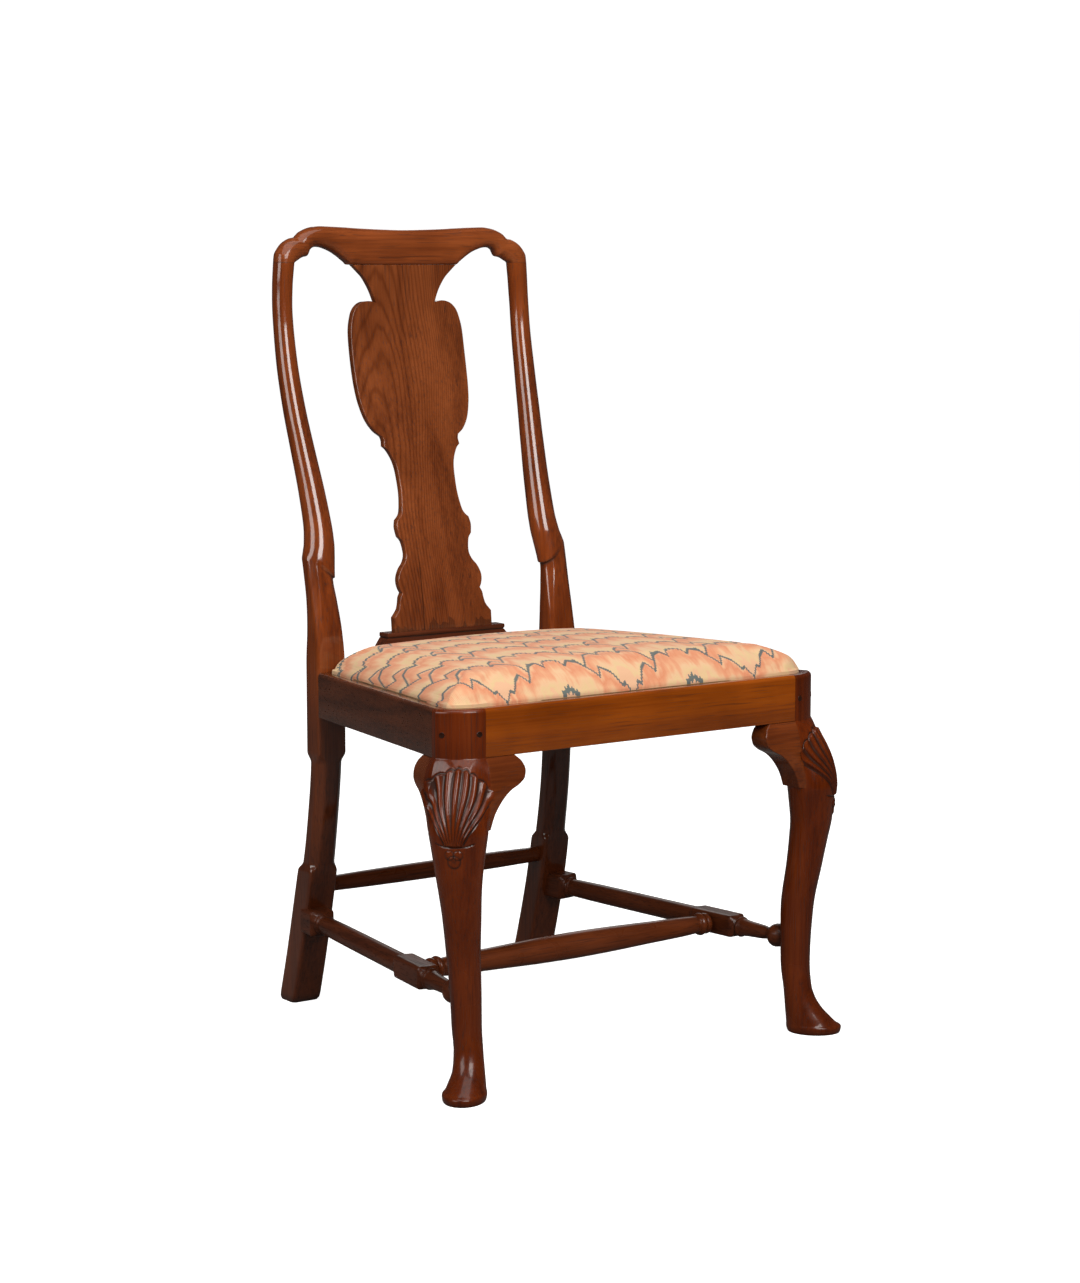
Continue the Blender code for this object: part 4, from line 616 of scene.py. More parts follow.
# Height, shift of the centre across and back, and half lengths along and across the corner's diagonal
LEG_LINE = np.array([
    (0.0000, 0.0156, -0.0186, 0.0318, 0.0240), (0.0015, 0.0156, -0.0186, 0.0330, 0.0250),
    (0.0074, 0.0154, -0.0185, 0.0343, 0.0259), (0.0096, 0.0148, -0.0181, 0.0337, 0.0254),
    (0.0110, 0.0136, -0.0174, 0.0322, 0.0243), (0.0195, 0.0094, -0.0146, 0.0279, 0.0217),
    (0.0319, 0.0045, -0.0106, 0.0227, 0.0188), (0.0446, 0.0019, -0.0068, 0.0193, 0.0177),
    (0.0580, 0.0005, -0.0040, 0.0178, 0.0172), (0.0856, 0.0000, 0.0000, 0.0183, 0.0177),
    (0.1138, 0.0005, 0.0006, 0.0189, 0.0183), (0.1562, 0.0027, 0.0010, 0.0205, 0.0196),
    (0.2145, 0.0093, -0.0045, 0.0225, 0.0229), (0.2430, 0.0128, -0.0067, 0.0240, 0.0253),
    (0.2716, 0.0155, -0.0087, 0.0262, 0.0288), (0.3100, 0.0158, -0.0082, 0.0300, 0.0345)])
SEAT_REAR_HALF = 0.2005
SIDE_RUN = math.hypot(CORNER_X - SEAT_REAR_HALF, SEAT_DEPTH - CORNER_Y)
ALONG = np.array([(SEAT_REAR_HALF - CORNER_X) / SIDE_RUN, (SEAT_DEPTH - CORNER_Y) / SIDE_RUN])
OUTWARD = np.array([ALONG[1], -ALONG[0]])
STILE_TAIL = 0.0106
SHELL_ROOT = 0.2740
SHELL_FOOT = 0.3000
SHELL_MIDDLE = 0.3380
SHELL_TOP = 0.3850
SHELL_RIBS = 9
FACE_POINTS = 168
LIP_POINTS = 150
TAIL_POINTS = 10
BACK_POINTS = 72


def stile_ring(inset, lip):
    """Plan of the stile: its outer arc and a short straight tail along the side rail, drawn in by inset,
    then back along the joint faces. With lip, the way back follows the inner edge of the lip instead."""
    angle = np.linspace(0, CORNER_SWEEP, FACE_POINTS)
    centre = np.array([STILE_X, CORNER_RADIUS])
    ray = np.stack([np.sin(angle), -np.cos(angle)], axis=1)
    arc = centre + ray * (CORNER_RADIUS - inset)
    tail = CORNER - OUTWARD * inset + ALONG * STILE_TAIL * np.linspace(0.1, 1, TAIL_POINTS)[:, None]
    if lip:
        inner_arc = centre + ray[:LIP_POINTS] * (CORNER_RADIUS - LIP_WIDTH)
        inner_tail = CORNER + ALONG * STILE_TAIL - OUTWARD * LIP_WIDTH
        stops = np.vstack([tail[-1:], inner_tail, inner_arc[::-8], arc[:1]])
    else:
        rail_end = CORNER - OUTWARD * STILE_DEPTH
        stops = np.array([tail[-1], rail_end + ALONG * STILE_TAIL, rail_end, (STILE_X, CORNER_Y), arc[0]])
    run = np.concatenate([[0], np.cumsum(np.linalg.norm(np.diff(stops, axis=0), axis=1))])
    way = np.linspace(0, run[-1], BACK_POINTS + 2)[1:-1]
    back = np.stack([np.interp(way, run, stops[:, k]) for k in range(2)], axis=1)
    return np.vstack([arc, tail, back])


def shell_carving(across, z):
    """Depth and painted shade of the knee's carving. Ribs fan out from a root below the shell: their height
    is a cosine of the swing, measured in shares of a spread that widens with the distance. The fan ends in a
    scalloped rim with a cut line round it. Under it lie a cut line and a bud of three small swellings. The
    cut lines, the hollows between the ribs, the rings round the bud and its dimple get painted shade."""
    rise = z - SHELL_ROOT
    far, swing = np.hypot(across, rise), np.arctan2(across, rise)
    spread = np.radians(19 + 18 * smooth_step((far - 0.026) / 0.070))
    place = swing / spread
    rib = np.cos(math.pi * place * SHELL_RIBS)
    lobe = np.abs(np.cos(math.pi * place * SHELL_RIBS / 2))
    rim = (SHELL_TOP - SHELL_ROOT) * (1 - 0.13 * place ** 2) + 0.0030 * (lobe - 1)
    side = (1 - np.abs(place)) * spread * far
    over = z - SHELL_FOOT
    within = smooth_step((rim - far) / 0.0012) * smooth_step(side / 0.0012) * smooth_step(over / 0.0016)
    hollow = np.sign(rib) * np.abs(rib) ** 0.7
    swell = np.clip(far / 0.075, 0, 1) ** 1.2
    relief = within * (0.0016 + 0.0016 * swell * hollow)
    fan = smooth_step((side + 0.004) / 0.003) * smooth_step(over / 0.003)
    cut = np.exp(-((far - rim - 0.0012) / 0.0012) ** 2) * fan
    flank = np.exp(-((side + 0.0012) / 0.0011) ** 2) * smooth_step((rim - far) / 0.002)
    cut = np.maximum(cut, flank * smooth_step(over / 0.003))
    collar_at = SHELL_FOOT - 0.0012 + 0.0030 * (across / 0.022) ** 2
    collar = np.exp(-((z - collar_at) / 0.0009) ** 2) * smooth_step((0.026 - np.abs(across)) / 0.004)
    relief -= 0.0009 * cut + 0.0010 * collar
    # Painted shade in the cut lines, the collar and the hollows between the ribs
    between = within * 0.8 * np.clip(0.1 - hollow, 0, 1) * np.clip(far / 0.05, 0.5, 1)
    painted_shade_and_grime = 0.95 * cut + 0.9 * collar + between
    for place, height, size, lift in ((-0.0050, 0.2902, 0.0052, 0.0016), (0.0050, 0.2902, 0.0052, 0.0016),
                                      (0.0, 0.2822, 0.0070, 0.0019)):
        away = np.hypot(across - place, z - height) / size
        relief += lift * np.sqrt(np.clip(1 - away ** 2, 0, 1))
        # Painted shade in a ring round each swelling of the bud
        painted_shade_and_grime += 0.8 * np.exp(-((away - 1.06) / 0.11) ** 2)
    dimple = np.hypot(across, z - 0.2822) / 0.0030
    relief -= 0.0011 * np.exp(-dimple ** 2)
    # Painted shade in the bud's dimple
    painted_shade_and_grime += 0.45 * np.exp(-dimple ** 2)
    return relief, painted_shade_and_grime


leg_z = levels((0, 0.013, 16), (0.013, 0.06, 26), (0.06, 0.262, 44), (0.262, RAIL_BOTTOM, 176))
stile = stile_ring(0.0, False)
bearing = np.arctan2(stile[:, 1] - STILE_HEART[1], stile[:, 0] - STILE_HEART[0])


def leg_oval(height):
    """Plan of the leg below the knee at each height, read at the stile's bearings."""
    at = flow(LEG_LINE, np.clip(height, 0, KNEE))[:, :, None]
    spin = bearing[None, :]
    radius = rounded(spin - DIAGONAL, at[:, 2], at[:, 3])
    x = LEG_X + at[:, 0] + radius * np.cos(spin)
    y = LEG_Y + at[:, 1] + radius * np.sin(spin)
    return np.stack([x, y], axis=-1)


# The middle of the knee swells at once. Its ends stay flush with the brackets and turn oval lower down
knee_fall = np.clip((RAIL_BOTTOM - leg_z) / KNEE_DROP, 0, 1)[:, None, None]
swelled = 1 - (1 - knee_fall) ** 1.9
arc_share = np.linspace(0, 1, FACE_POINTS)
back_share = np.linspace(0, 1, BACK_POINTS + 2)[1:-1]
arc_end, back_end = np.abs(2 * arc_share - 1), np.abs(2 * back_share - 1)
flank = np.concatenate([arc_end ** 1.6, np.ones(TAIL_POINTS), back_end ** 2])[:, None]
arc_ray = np.stack([np.sin(arc_share * CORNER_SWEEP), -np.cos(arc_share * CORNER_SWEEP)], axis=1)
back_ray = np.where(back_share[:, None] < 0.5, OUTWARD, (0.0, -1.0)) * back_end[:, None] ** 6
push = np.vstack([arc_ray, np.tile(OUTWARD, (TAIL_POINTS, 1)), back_ray])
turned_oval = swelled * (1 - flank) + smooth_step((knee_fall - 0.30) / 0.70) * flank
proud = KNEE_PROUD * (1 - (1 - knee_fall) ** 5)
leg_plan = (stile + push * flank * proud) * (1 - turned_oval) + leg_oval(leg_z) * turned_oval
knee_plan = leg_plan.copy()
knee_row = np.argmin(np.abs(leg_z - SHELL_MIDDLE))
steps = np.linalg.norm(np.diff(leg_plan[knee_row], axis=0), axis=1)
arc = np.concatenate([[0], np.cumsum(steps)])
arc -= np.interp(DIAGONAL, bearing[:FACE_POINTS], arc[:FACE_POINTS])
relief, leg_shade_and_grime = shell_carving(arc[None, :], leg_z[:, None])
facing = (np.arange(len(bearing)) < FACE_POINTS + TAIL_POINTS)[None, :]
relief = np.where(facing, relief, 0.0)
leg_plan = leg_plan + relief[..., None] * np.stack([np.cos(bearing), np.sin(bearing)], axis=1)
leg_level = np.broadcast_to(leg_z[:, None, None], leg_plan.shape[:2] + (1,))
leg_grid = np.concatenate([leg_plan, leg_level], axis=-1)
# The carving's painted shade on the knee's face only, and a darker foot
leg_shade_and_grime = np.where(facing, leg_shade_and_grime, 0.0) + 0.3 * np.exp(-(leg_z[:, None] / 0.004) ** 2)
# Painted shade, deepening towards the floor below the knee
leg_shade_and_grime += 0.16 * smooth_step((0.30 - leg_z[:, None]) / 0.2)

# The stile above the knee: up to the ledge, in to the band of the lip, and over its rounded edge
quarter = np.linspace(0, math.pi / 2, 9)
lip_round = LIP_ROUND * np.column_stack([1 - np.cos(quarter), np.sin(quarter)]) + (0, SEAT_HEIGHT - LIP_ROUND)
rows = [(stile, z) for z in (RAIL_BOTTOM + 0.0004, 0.41, 0.425, LEDGE - 0.00005)]
rows += [(stile_ring(0.0, True), z) for z in (LEDGE, 0.442)]
rows += [(stile_ring(inset, True), z) for inset, z in lip_round]
stile_grid = np.stack([np.column_stack([plan, np.full(len(plan), z)]) for plan, z in rows])
lowered = np.clip((stile_grid[..., 2] - RAIL_BOTTOM) / (LEDGE - RAIL_BOTTOM), 0, 1)
stile_grid[..., 2] -= lowered * SEAT_DROP * stile_grid[..., 1] / SEAT_DEPTH
leg_grid = np.concatenate([leg_grid, stile_grid])
leg_shade_and_grime = np.concatenate([leg_shade_and_grime, np.zeros(stile_grid.shape[:2])])

for hand, seed in (("left", 15.0), ("right", 18.6)):
    finish = walnut(hand + "_leg_walnut", (0.052, 0.0068, 0.0008), (0.116, 0.0172, 0.0015),
                    (0.165, 0.0290, 0.0030), "Z", seed, gloss=0.20, coat=0.25)
    painted_shade_and_grime = leg_shade_and_grime[:, ::-1] if hand == "left" else leg_shade_and_grime
    join(skin(hand + "_cabriole_leg", handed(hand, leg_grid), finish, painted_shade_and_grime, sharp=48), hand + "_front_leg")


# Front and side seat rails: walnut bars tenoned and pegged into the stiles and the posts. Their outer top
# edge is rounded into a lip, and a rebate inside it takes the slip seat.
RAIL_THICK = 0.030
# Inward distance and height: up the face, over the lip, down into the rebate and along the inner face
rail_profile = np.vstack([
    [(0.0010, RAIL_BOTTOM), (0.0003, RAIL_BOTTOM + 0.0003), (0.0, RAIL_BOTTOM + 0.0010), (0.0, 0.42)],
    lip_round,
    [(LIP_WIDTH - 0.0010, SEAT_HEIGHT), (LIP_WIDTH - 0.0003, SEAT_HEIGHT - 0.0003),
     (LIP_WIDTH, SEAT_HEIGHT - 0.0010), (LIP_WIDTH, LEDGE), (RAIL_THICK, LEDGE),
     (RAIL_THICK, RAIL_BOTTOM)]])[::-1]


def lip_rail(start, end, count):
    """The rail's profile of inward distance and height carried from one end to the other. Each end gives
    the plan point for an inward distance."""
    first = np.stack([start(d) for d in rail_profile[:, 0]])
    last = np.stack([end(d) for d in rail_profile[:, 0]])
    t = np.linspace(0, 1, count)[:, None, None]
    plan = first * (1 - t) + last * t
    high = np.broadcast_to(rail_profile[None, :, 1:], plan.shape[:2] + (1,))
    return tilted(np.concatenate([plan, high], axis=-1))


def side_point(inward, y):
    """Plan point of the right side rail at an inward distance and a distance behind the front."""
    corner = CORNER - OUTWARD * inward
    return corner + ALONG * (y - corner[1]) / ALONG[1]


front_walnut = walnut("front_rail_walnut", (0.145, 0.0260, 0.0015), (0.245, 0.0500, 0.0025),
                      (0.310, 0.0700, 0.0045), "X", 21.0)
front_grid = lip_rail(lambda d: (-STILE_X + GLUE_GAP, d), lambda d: (STILE_X - GLUE_GAP, d), 60)
join(skin("front_rail", front_grid, front_walnut, sharp=30), "front_seat_rail")

side_walnut = walnut("side_rail_walnut", (0.030, 0.0075, 0.0030), (0.080, 0.0205, 0.0070),
                     (0.115, 0.0310, 0.0110), "Y", 24.0)
side_grid = lip_rail(lambda d: side_point(d, SEAT_DEPTH - GLUE_GAP),
                     lambda d: side_point(d, CORNER_Y + GLUE_GAP) + ALONG * STILE_TAIL, 50)
for hand in ("left", "right"):
    join(skin(hand + "_side_rail", handed(hand, side_grid), side_walnut, sharp=30), hand + "_side_seat_rail")


# Pegs: riven walnut pins driven through the stiles and the tenons, trimmed almost flush. Their ends show
# as dark, slightly faceted rounds.
PEG_RADIUS = 0.0034
PEG_LEVEL = 0.4227
PEG_MARGIN = 0.008
PEG_SWINGS = {"front": math.asin(PEG_MARGIN / CORNER_RADIUS),
              "side": CORNER_SWEEP - PEG_MARGIN / CORNER_RADIUS}
peg_walnut = walnut("peg_end_grain", (0.008, 0.0026, 0.0012), (0.022, 0.0065, 0.0026),
                    (0.045, 0.0130, 0.0050), "Y", 27.0)


def peg_grid(swing):
    """A pin square to the stile's arc at a swing round the corner: rings along its axis, each an octagon
    with rounded corners, the last ones drawn in to a low dome."""
    axis = np.array([math.sin(swing), -math.cos(swing), 0.0])
    side = np.array([math.cos(swing), math.sin(swing), 0.0])
    foot = np.array([STILE_X, CORNER_RADIUS, PEG_LEVEL]) + axis * CORNER_RADIUS
    foot[2] -= SEAT_DROP * foot[1] / SEAT_DEPTH
    rings = np.array([(-0.008, 1.0), (0.0001, 1.0), (0.0003, 0.95), (0.0004, 0.8), (0.0005, 0.4)])
    spin = (np.arange(32) * 2 * math.pi / 32)[None, :]
    wide = PEG_RADIUS * (1 + 0.03 * np.cos(8 * spin)) * rings[:, 1:]
    return (foot + rings[:, None, :1] * axis + (wide * np.cos(spin))[..., None] * side
            + (wide * np.sin(spin))[..., None] * np.array([0.0, 0.0, 1.0]))


for hand in ("left", "right"):
    for place, swing in PEG_SWINGS.items():
        name = hand + "_" + place
        join(skin(name + "_peg", handed(hand, peg_grid(swing)), peg_walnut), name + "_rail_peg")


# Knee brackets: small lobed ears of walnut glued under the rails on both sides of each knee. Their faces
# swell outwards with the knee, and the glue line against the leg shows.
# Share of the drop from the rail and share of the length that the lobed edge reaches there
BRACKET_EDGE = np.array([
    (0.000, 0.800), (0.090, 0.940), (0.200, 1.000), (0.310, 0.960), (0.400, 0.800), (0.470, 0.580),
    (0.560, 0.400), (0.670, 0.250), (0.800, 0.120), (1.000, 0.000)])
BRACKET_HEIGHT = 0.082
BRACKET_LENGTH = 0.051
BRACKET_SWELL = 0.0105
BRACKET_ROUND = 0.0015
BRACKET_BACK = 0.022


def bracket_grid(root, root_slope):
    """A bracket as level slices from its tip up to the rail. A slice leaves the knee's surface in its own
    direction, falls back to the rail's plane along a cubic, turns round the eased edge and returns along
    the flat inner face. Columns: distance from the stile, inward distance, height."""
    drop = np.linspace(1, 0, 90)
    high = RAIL_BOTTOM - GLUE_GAP - drop * BRACKET_HEIGHT
    start_d, start_in = (np.interp(high, leg_z, root[:, k])[:, None] for k in range(2))
    slope = np.clip(np.interp(high, leg_z, root_slope), 0.0, 1.2)[:, None]
    tip = np.maximum(flow(BRACKET_EDGE, drop)[:, 0:1] * BRACKET_LENGTH, start_d + 0.0020)
    run = np.linspace(0, 1, 22)[None, :]
    reach = tip - BRACKET_ROUND - start_d
    face_d = start_d + reach * run
    fallen = np.clip(drop * BRACKET_HEIGHT / KNEE_DROP, 0, 1)[:, None]
    end_in = -BRACKET_SWELL * (1 - (1 - fallen) ** 5)
    ease = smooth_step(run)
    face_in = start_in * (1 - ease) + end_in * ease + slope * reach * (run ** 3 - 2 * run ** 2 + run)
    bend = np.linspace(0, math.pi / 2, 6)[None, 1:]
    round_d = tip - BRACKET_ROUND + BRACKET_ROUND * np.sin(bend)
    round_in = face_in[:, -1:] + BRACKET_ROUND * (1 - np.cos(bend))
    inside_d = start_d - 0.010
    back_d = tip + (inside_d - tip) * np.linspace(0, 1, 8)[None, :]
    back_in = np.full(back_d.shape, BRACKET_BACK)
    lead_d = np.hstack([inside_d, start_d - 0.004])
    lead_in = np.hstack([start_in + 0.012, start_in + 0.0016])
    distance = np.concatenate([lead_d, face_d, round_d, back_d], axis=1)
    inward = np.concatenate([lead_in, face_in, round_in, back_in], axis=1)
    return np.stack([distance, inward, np.broadcast_to(high[:, None], distance.shape)], axis=-1)


def knee_edge(end, inner, along, outward, origin):
    """The knee's surface where a bracket meets it, from two of its columns: distance from the stile and
    inward distance at each height, and the slope between the two columns there."""
    lines = knee_plan[:, [end, inner]] - origin
    lines = np.stack([lines @ along, -(lines @ outward)], axis=-1)
    step = lines[:, 0] - lines[:, 1]
    return lines[:, 0], step[:, 1] / np.maximum(step[:, 0], 1e-4)


FRONT_ALONG, FRONT_OUTWARD = np.array([-1.0, 0.0]), np.array([0.0, -1.0])
tail_end = FACE_POINTS + TAIL_POINTS - 1
bracket_sides = {"front": (0, 5, FRONT_ALONG, FRONT_OUTWARD, np.array([STILE_X, 0.0])),
                 "side": (tail_end, tail_end - 6, ALONG, OUTWARD, CORNER)}
for hand, seed in (("left", 30.0), ("right", 33.0)):
    bracket_walnut = walnut(hand + "_bracket_walnut", (0.070, 0.0130, 0.0030), (0.145, 0.0310, 0.0065),
                            (0.200, 0.0480, 0.0110), "X", seed)
    for place, (end, inner, along, outward, origin) in bracket_sides.items():
        flat = bracket_grid(*knee_edge(end, inner, along, outward, origin))
        plan = origin + flat[..., :1] * along - flat[..., 1:2] * outward
        grid = tilted(np.concatenate([plan, flat[..., 2:]], axis=-1))
        grid = grid[:, ::-1] if place == "front" else grid
        name = hand + "_" + place
        join(skin(name + "_bracket", handed(hand, grid), bracket_walnut), name + "_knee_bracket")


# Corner blocks: three-cornered blocks of plain beech, glued and nailed inside the corners of the seat.
# They keep the shape of the CAD model and are left bare, because only the underside shows them.
def bare_beech(name, seed):
    """Unpolished beech gone grey-brown with age: long soft bands along the board and short dark rays."""
    return walnut(name, (0.150, 0.086, 0.044), (0.275, 0.165, 0.086), (0.360, 0.235, 0.130), "X", seed,
                  stretch=0.08, gloss=0.62, coat=0.0, specular=0.2)


block_beech = bare_beech("block_beech", 36.0)
for hand in ("left", "right"):
    for place in ("front", "rear"):
        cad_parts[hand + "_" + place + "_corner_block"].material_slots[0].material = block_beech


# Stretchers: turned walnut bars between the legs. The side ones keep square blocks at the rear leg and
# where the cross stretcher enters, and end in a ball at the front leg. The rear one is plain.
STRETCHER_HEIGHT = 0.1155
REAR_BAR_HEIGHT = 0.158
CROSS_Y = 0.150
CROSS_GAP = 0.0033
SIDE_BAR_X = POST_X + 0.010
REAR_BLOCK = 0.0165
MIDDLE_BLOCK = 0.0140
MIDDLE_BLOCK_HALF = 0.033
SIDE_BAR, CROSS_BAR, REAR_BAR = 0.0125, 0.0165, 0.0115


def turned_bar(start, end, stations, count):
    """A bar between two points. Each station gives distance, half size and squareness from 0, turned, to
    1, square with eased corners; the section in between is mixed of the two."""
    start, end = np.array(start), np.array(end)
    axis = (end - start) / np.linalg.norm(end - start)
    side = np.cross(axis, (0, 0, 1))
    side = side / np.linalg.norm(side)
    lift = np.cross(side, axis)
    table = np.array(stations, float)
    fine = np.concatenate([np.linspace(a, b, max(3, min(16, int((b - a) / 0.0006) + 2)))[:-1]
                           for a, b in zip(table[:-1, 0], table[1:, 0])] + [table[-1:, 0]])
    half, square = flow(table, fine).T[:, :, None]
    spin = bearings(count)
    wide = rounded(spin, half, half) * (1 - square) + squared(spin, half, half, 0.0022) * square
    centre = start + fine[:, None, None] * axis
    return centre + (wide * np.cos(spin))[..., None] * side + (wide * np.sin(spin))[..., None] * lift


def turnings(start, beads, size):
    """Turned stations: each bead gives its distance from a start and its share of the bar's half size."""
    return [(start + distance, share * size, 0) for distance, share in beads]


def both_ways(half, middle, size):
    """Stations of a bar whose second half mirrors the first about its thickest place."""
    return half + [(middle, size, 0)] + [(2 * middle - d, s, k) for d, s, k in reversed(half)]


rear_leg = flow(SQUARE_PART, np.array([STRETCHER_HEIGHT, REAR_BAR_HEIGHT]))
rear_end = np.array([SIDE_BAR_X, rake(STRETCHER_HEIGHT) - rear_leg[0, 2] - GLUE_GAP, STRETCHER_HEIGHT])
ankle = flow(LEG_LINE, np.array([STRETCHER_HEIGHT]))[0]
front_end = np.array([LEG_X + ankle[0], LEG_Y + ankle[1], STRETCHER_HEIGHT])
way = (front_end - rear_end) / np.linalg.norm(front_end - rear_end)
front_end = front_end - way * (ankle[2] + GLUE_GAP)
length = np.linalg.norm(front_end - rear_end)
cross_share = (CROSS_Y - rear_end[1]) / (front_end[1] - rear_end[1])
cross_at = rear_end + (front_end - rear_end) * cross_share
block_rear = cross_share * length - MIDDLE_BLOCK_HALF
block_front = cross_share * length + MIDDLE_BLOCK_HALF
# From the rear leg: its block, a bead and hollow, the plain run, the middle block, a bead, and the ball
side_stations = [(-0.008, REAR_BLOCK, 1), (0.0225, REAR_BLOCK, 1), (0.0262, 0.0150, 0.45)]
side_stations += turnings(0.0, [(0.029, 1.02), (0.031, 1.06), (0.033, 0.98), (0.0345, 0.86), (0.040, 0.93),
                                (block_rear * 0.5, 1.0), (block_rear - 0.008, 1.02)], SIDE_BAR)
side_stations += [(block_rear - 0.005, SIDE_BAR * 1.06, 0.1), (block_rear + 0.001, MIDDLE_BLOCK, 1),
                  (block_front - 0.001, MIDDLE_BLOCK, 1), (block_front + 0.005, SIDE_BAR * 0.98, 0.15)]
side_stations += turnings(block_front, [(0.007, 0.86), (0.0085, 0.98), (0.0105, 1.04), (0.0125, 0.98),
                                        (0.0145, 0.90)], SIDE_BAR)
side_stations += turnings(length, [(-0.034, 0.68), (-0.0225, 0.56), (-0.0205, 0.80), (-0.017, 1.06),
                                   (-0.012, 1.18), (-0.006, 1.10), (0.0, 0.88), (0.004, 0.66)], SIDE_BAR)
stretcher_walnut = walnut("stretcher_walnut", (0.030, 0.0068, 0.0022), (0.080, 0.0180, 0.0052),
                          (0.120, 0.0290, 0.0090), "Y", 40.0, gloss=0.30, coat=0.12)
side_bar = turned_bar(rear_end, front_end, side_stations, 64)
for hand in ("left", "right"):
    bar = skin(hand + "_turned_stretcher", handed(hand, side_bar), stretcher_walnut, sharp=40)
    join(bar, hand + "_side_stretcher")

reach = cross_at[0] - MIDDLE_BLOCK - CROSS_GAP
cross_half = turnings(0.0, [(0.0, 0.68), (0.0012, 0.77), (0.004, 0.81), (0.0068, 0.77), (0.008, 0.66),
                            (0.0092, 0.80), (0.0125, 0.88), (0.0158, 0.80), (0.018, 0.64), (0.024, 0.69),
                            (reach * 0.45, 0.84), (reach * 0.8, 0.97)], CROSS_BAR)
cross_walnut = walnut("cross_stretcher_walnut", (0.045, 0.0095, 0.0028), (0.120, 0.0260, 0.0066),
                      (0.170, 0.0400, 0.0110), "X", 44.0, gloss=0.26, coat=0.15)
cross_bar = turned_bar(cross_at * (0, 1, 1) - (reach, 0, 0), cross_at * (0, 1, 1) + (reach, 0, 0),
                       both_ways(cross_half, reach, CROSS_BAR), 64)
join(skin("turned_cross_stretcher", cross_bar, cross_walnut, sharp=40), "cross_stretcher")

reach = POST_X + rear_leg[1, 0] - rear_leg[1, 1] - GLUE_GAP
rear_half = turnings(0.0, [(0.0, 0.86), (reach * 0.5, 0.97)], REAR_BAR)
rear_y = float(rake(REAR_BAR_HEIGHT))
rear_bar = turned_bar((-reach, rear_y, REAR_BAR_HEIGHT), (reach, rear_y, REAR_BAR_HEIGHT),
                      both_ways(rear_half, reach, REAR_BAR), 56)
join(skin("plain_rear_stretcher", rear_bar, cross_walnut, sharp=40), "rear_stretcher")


# Slip frame: four flat beech rails, halved together, that lie loose on the ledge inside the lip. They
# keep the shape of the CAD model and are left bare under the cloth.
slip_beech = bare_beech("slip_beech", 50.0)
for place in ("front", "back", "left", "right"):
    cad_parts["slip_" + place + "_rail"].material_slots[0].material = slip_beech


# Webbing: five bands of striped jute, interlaced and stretched over the slip frame and tacked at their
# ends. They carry the hessian and the hair.
WEB_LEVEL = 0.4547
SLIP_FRONT, SLIP_BACK = 0.017, 0.4145
WEB_HALF = 0.025
WEB_THIN = 0.0007
WEB_LIFT = 0.0011
WEB_MARGIN = 0.010
web_front, web_back = SLIP_FRONT + WEB_MARGIN, SLIP_BACK - WEB_MARGIN
web_rows = [web_front + (web_back - web_front) * s for s in (0.30, 0.70)]
web_columns = (-0.105, 0.0, 0.105)


def slip_edge(y, inset=0.003):
    """Half width of the slip seat at a distance behind the front, drawn in from the rebate by inset."""
    offset = OUTWARD @ CORNER - LIP_WIDTH - inset
    return (offset - OUTWARD[1] * y) / OUTWARD[0]


def jute(name):
    """Coarse twill of jute: fine ribs along and across the band, with two dark threads near its edges."""
    finish, tree, shader = new_finish(name)
    weave_map = node(tree, "UVMap", uv_map="band").outputs[0]
    across, along = node(tree, "SeparateXYZ", {"Vector": weave_map}).outputs[:2]
    rib = sums(tree, "SINE", sums(tree, "MULTIPLY", sums(tree, "ADD", across, along), 2600.0))
    weft = sums(tree, "SINE", sums(tree, "MULTIPLY", along, 3900.0))
    cloth = sums(tree, "MULTIPLY_ADD", sums(tree, "ADD", rib, weft), 0.25, 0.5)
    dust = node(tree, "TexNoise", {"Vector": weave_map, "Scale": 130.0, "Detail": 4.0}).outputs[0]
    colour = ramp(tree, sums(tree, "MULTIPLY_ADD", cloth, 0.5, sums(tree, "MULTIPLY", dust, 0.5)),
                  [(0.2, (0.14, 0.085, 0.040)), (0.55, (0.36, 0.245, 0.125)), (0.85, (0.52, 0.38, 0.21))])
    away = sums(tree, "ABSOLUTE", sums(tree, "SUBTRACT", sums(tree, "ABSOLUTE", across), 0.0175))
    stripe = sums(tree, "LESS_THAN", away, 0.0016)
    colour = tint(tree, sums(tree, "MULTIPLY", stripe, 0.8), colour, (0.075, 0.030, 0.022, 1))
    bump = node(tree, "Bump", {"Height": cloth, "Strength": 0.6, "Distance": 0.0006}).outputs[0]
    feed(tree, shader, base_color=colour, normal=bump, roughness=0.92, specular_ior_level=0.1)
    return finish


def lay_flat(piece, name, flat):
    """Gives a piece a UV map that holds each point's place on the flat cloth, in metres."""
    layer = piece.data.uv_layers.new(name=name)
    loops = np.zeros(len(piece.data.loops), np.int32)
    piece.data.loops.foreach_get("vertex_index", loops)
    layer.data.foreach_set("uv", flat[loops].astype(np.float32).ravel())


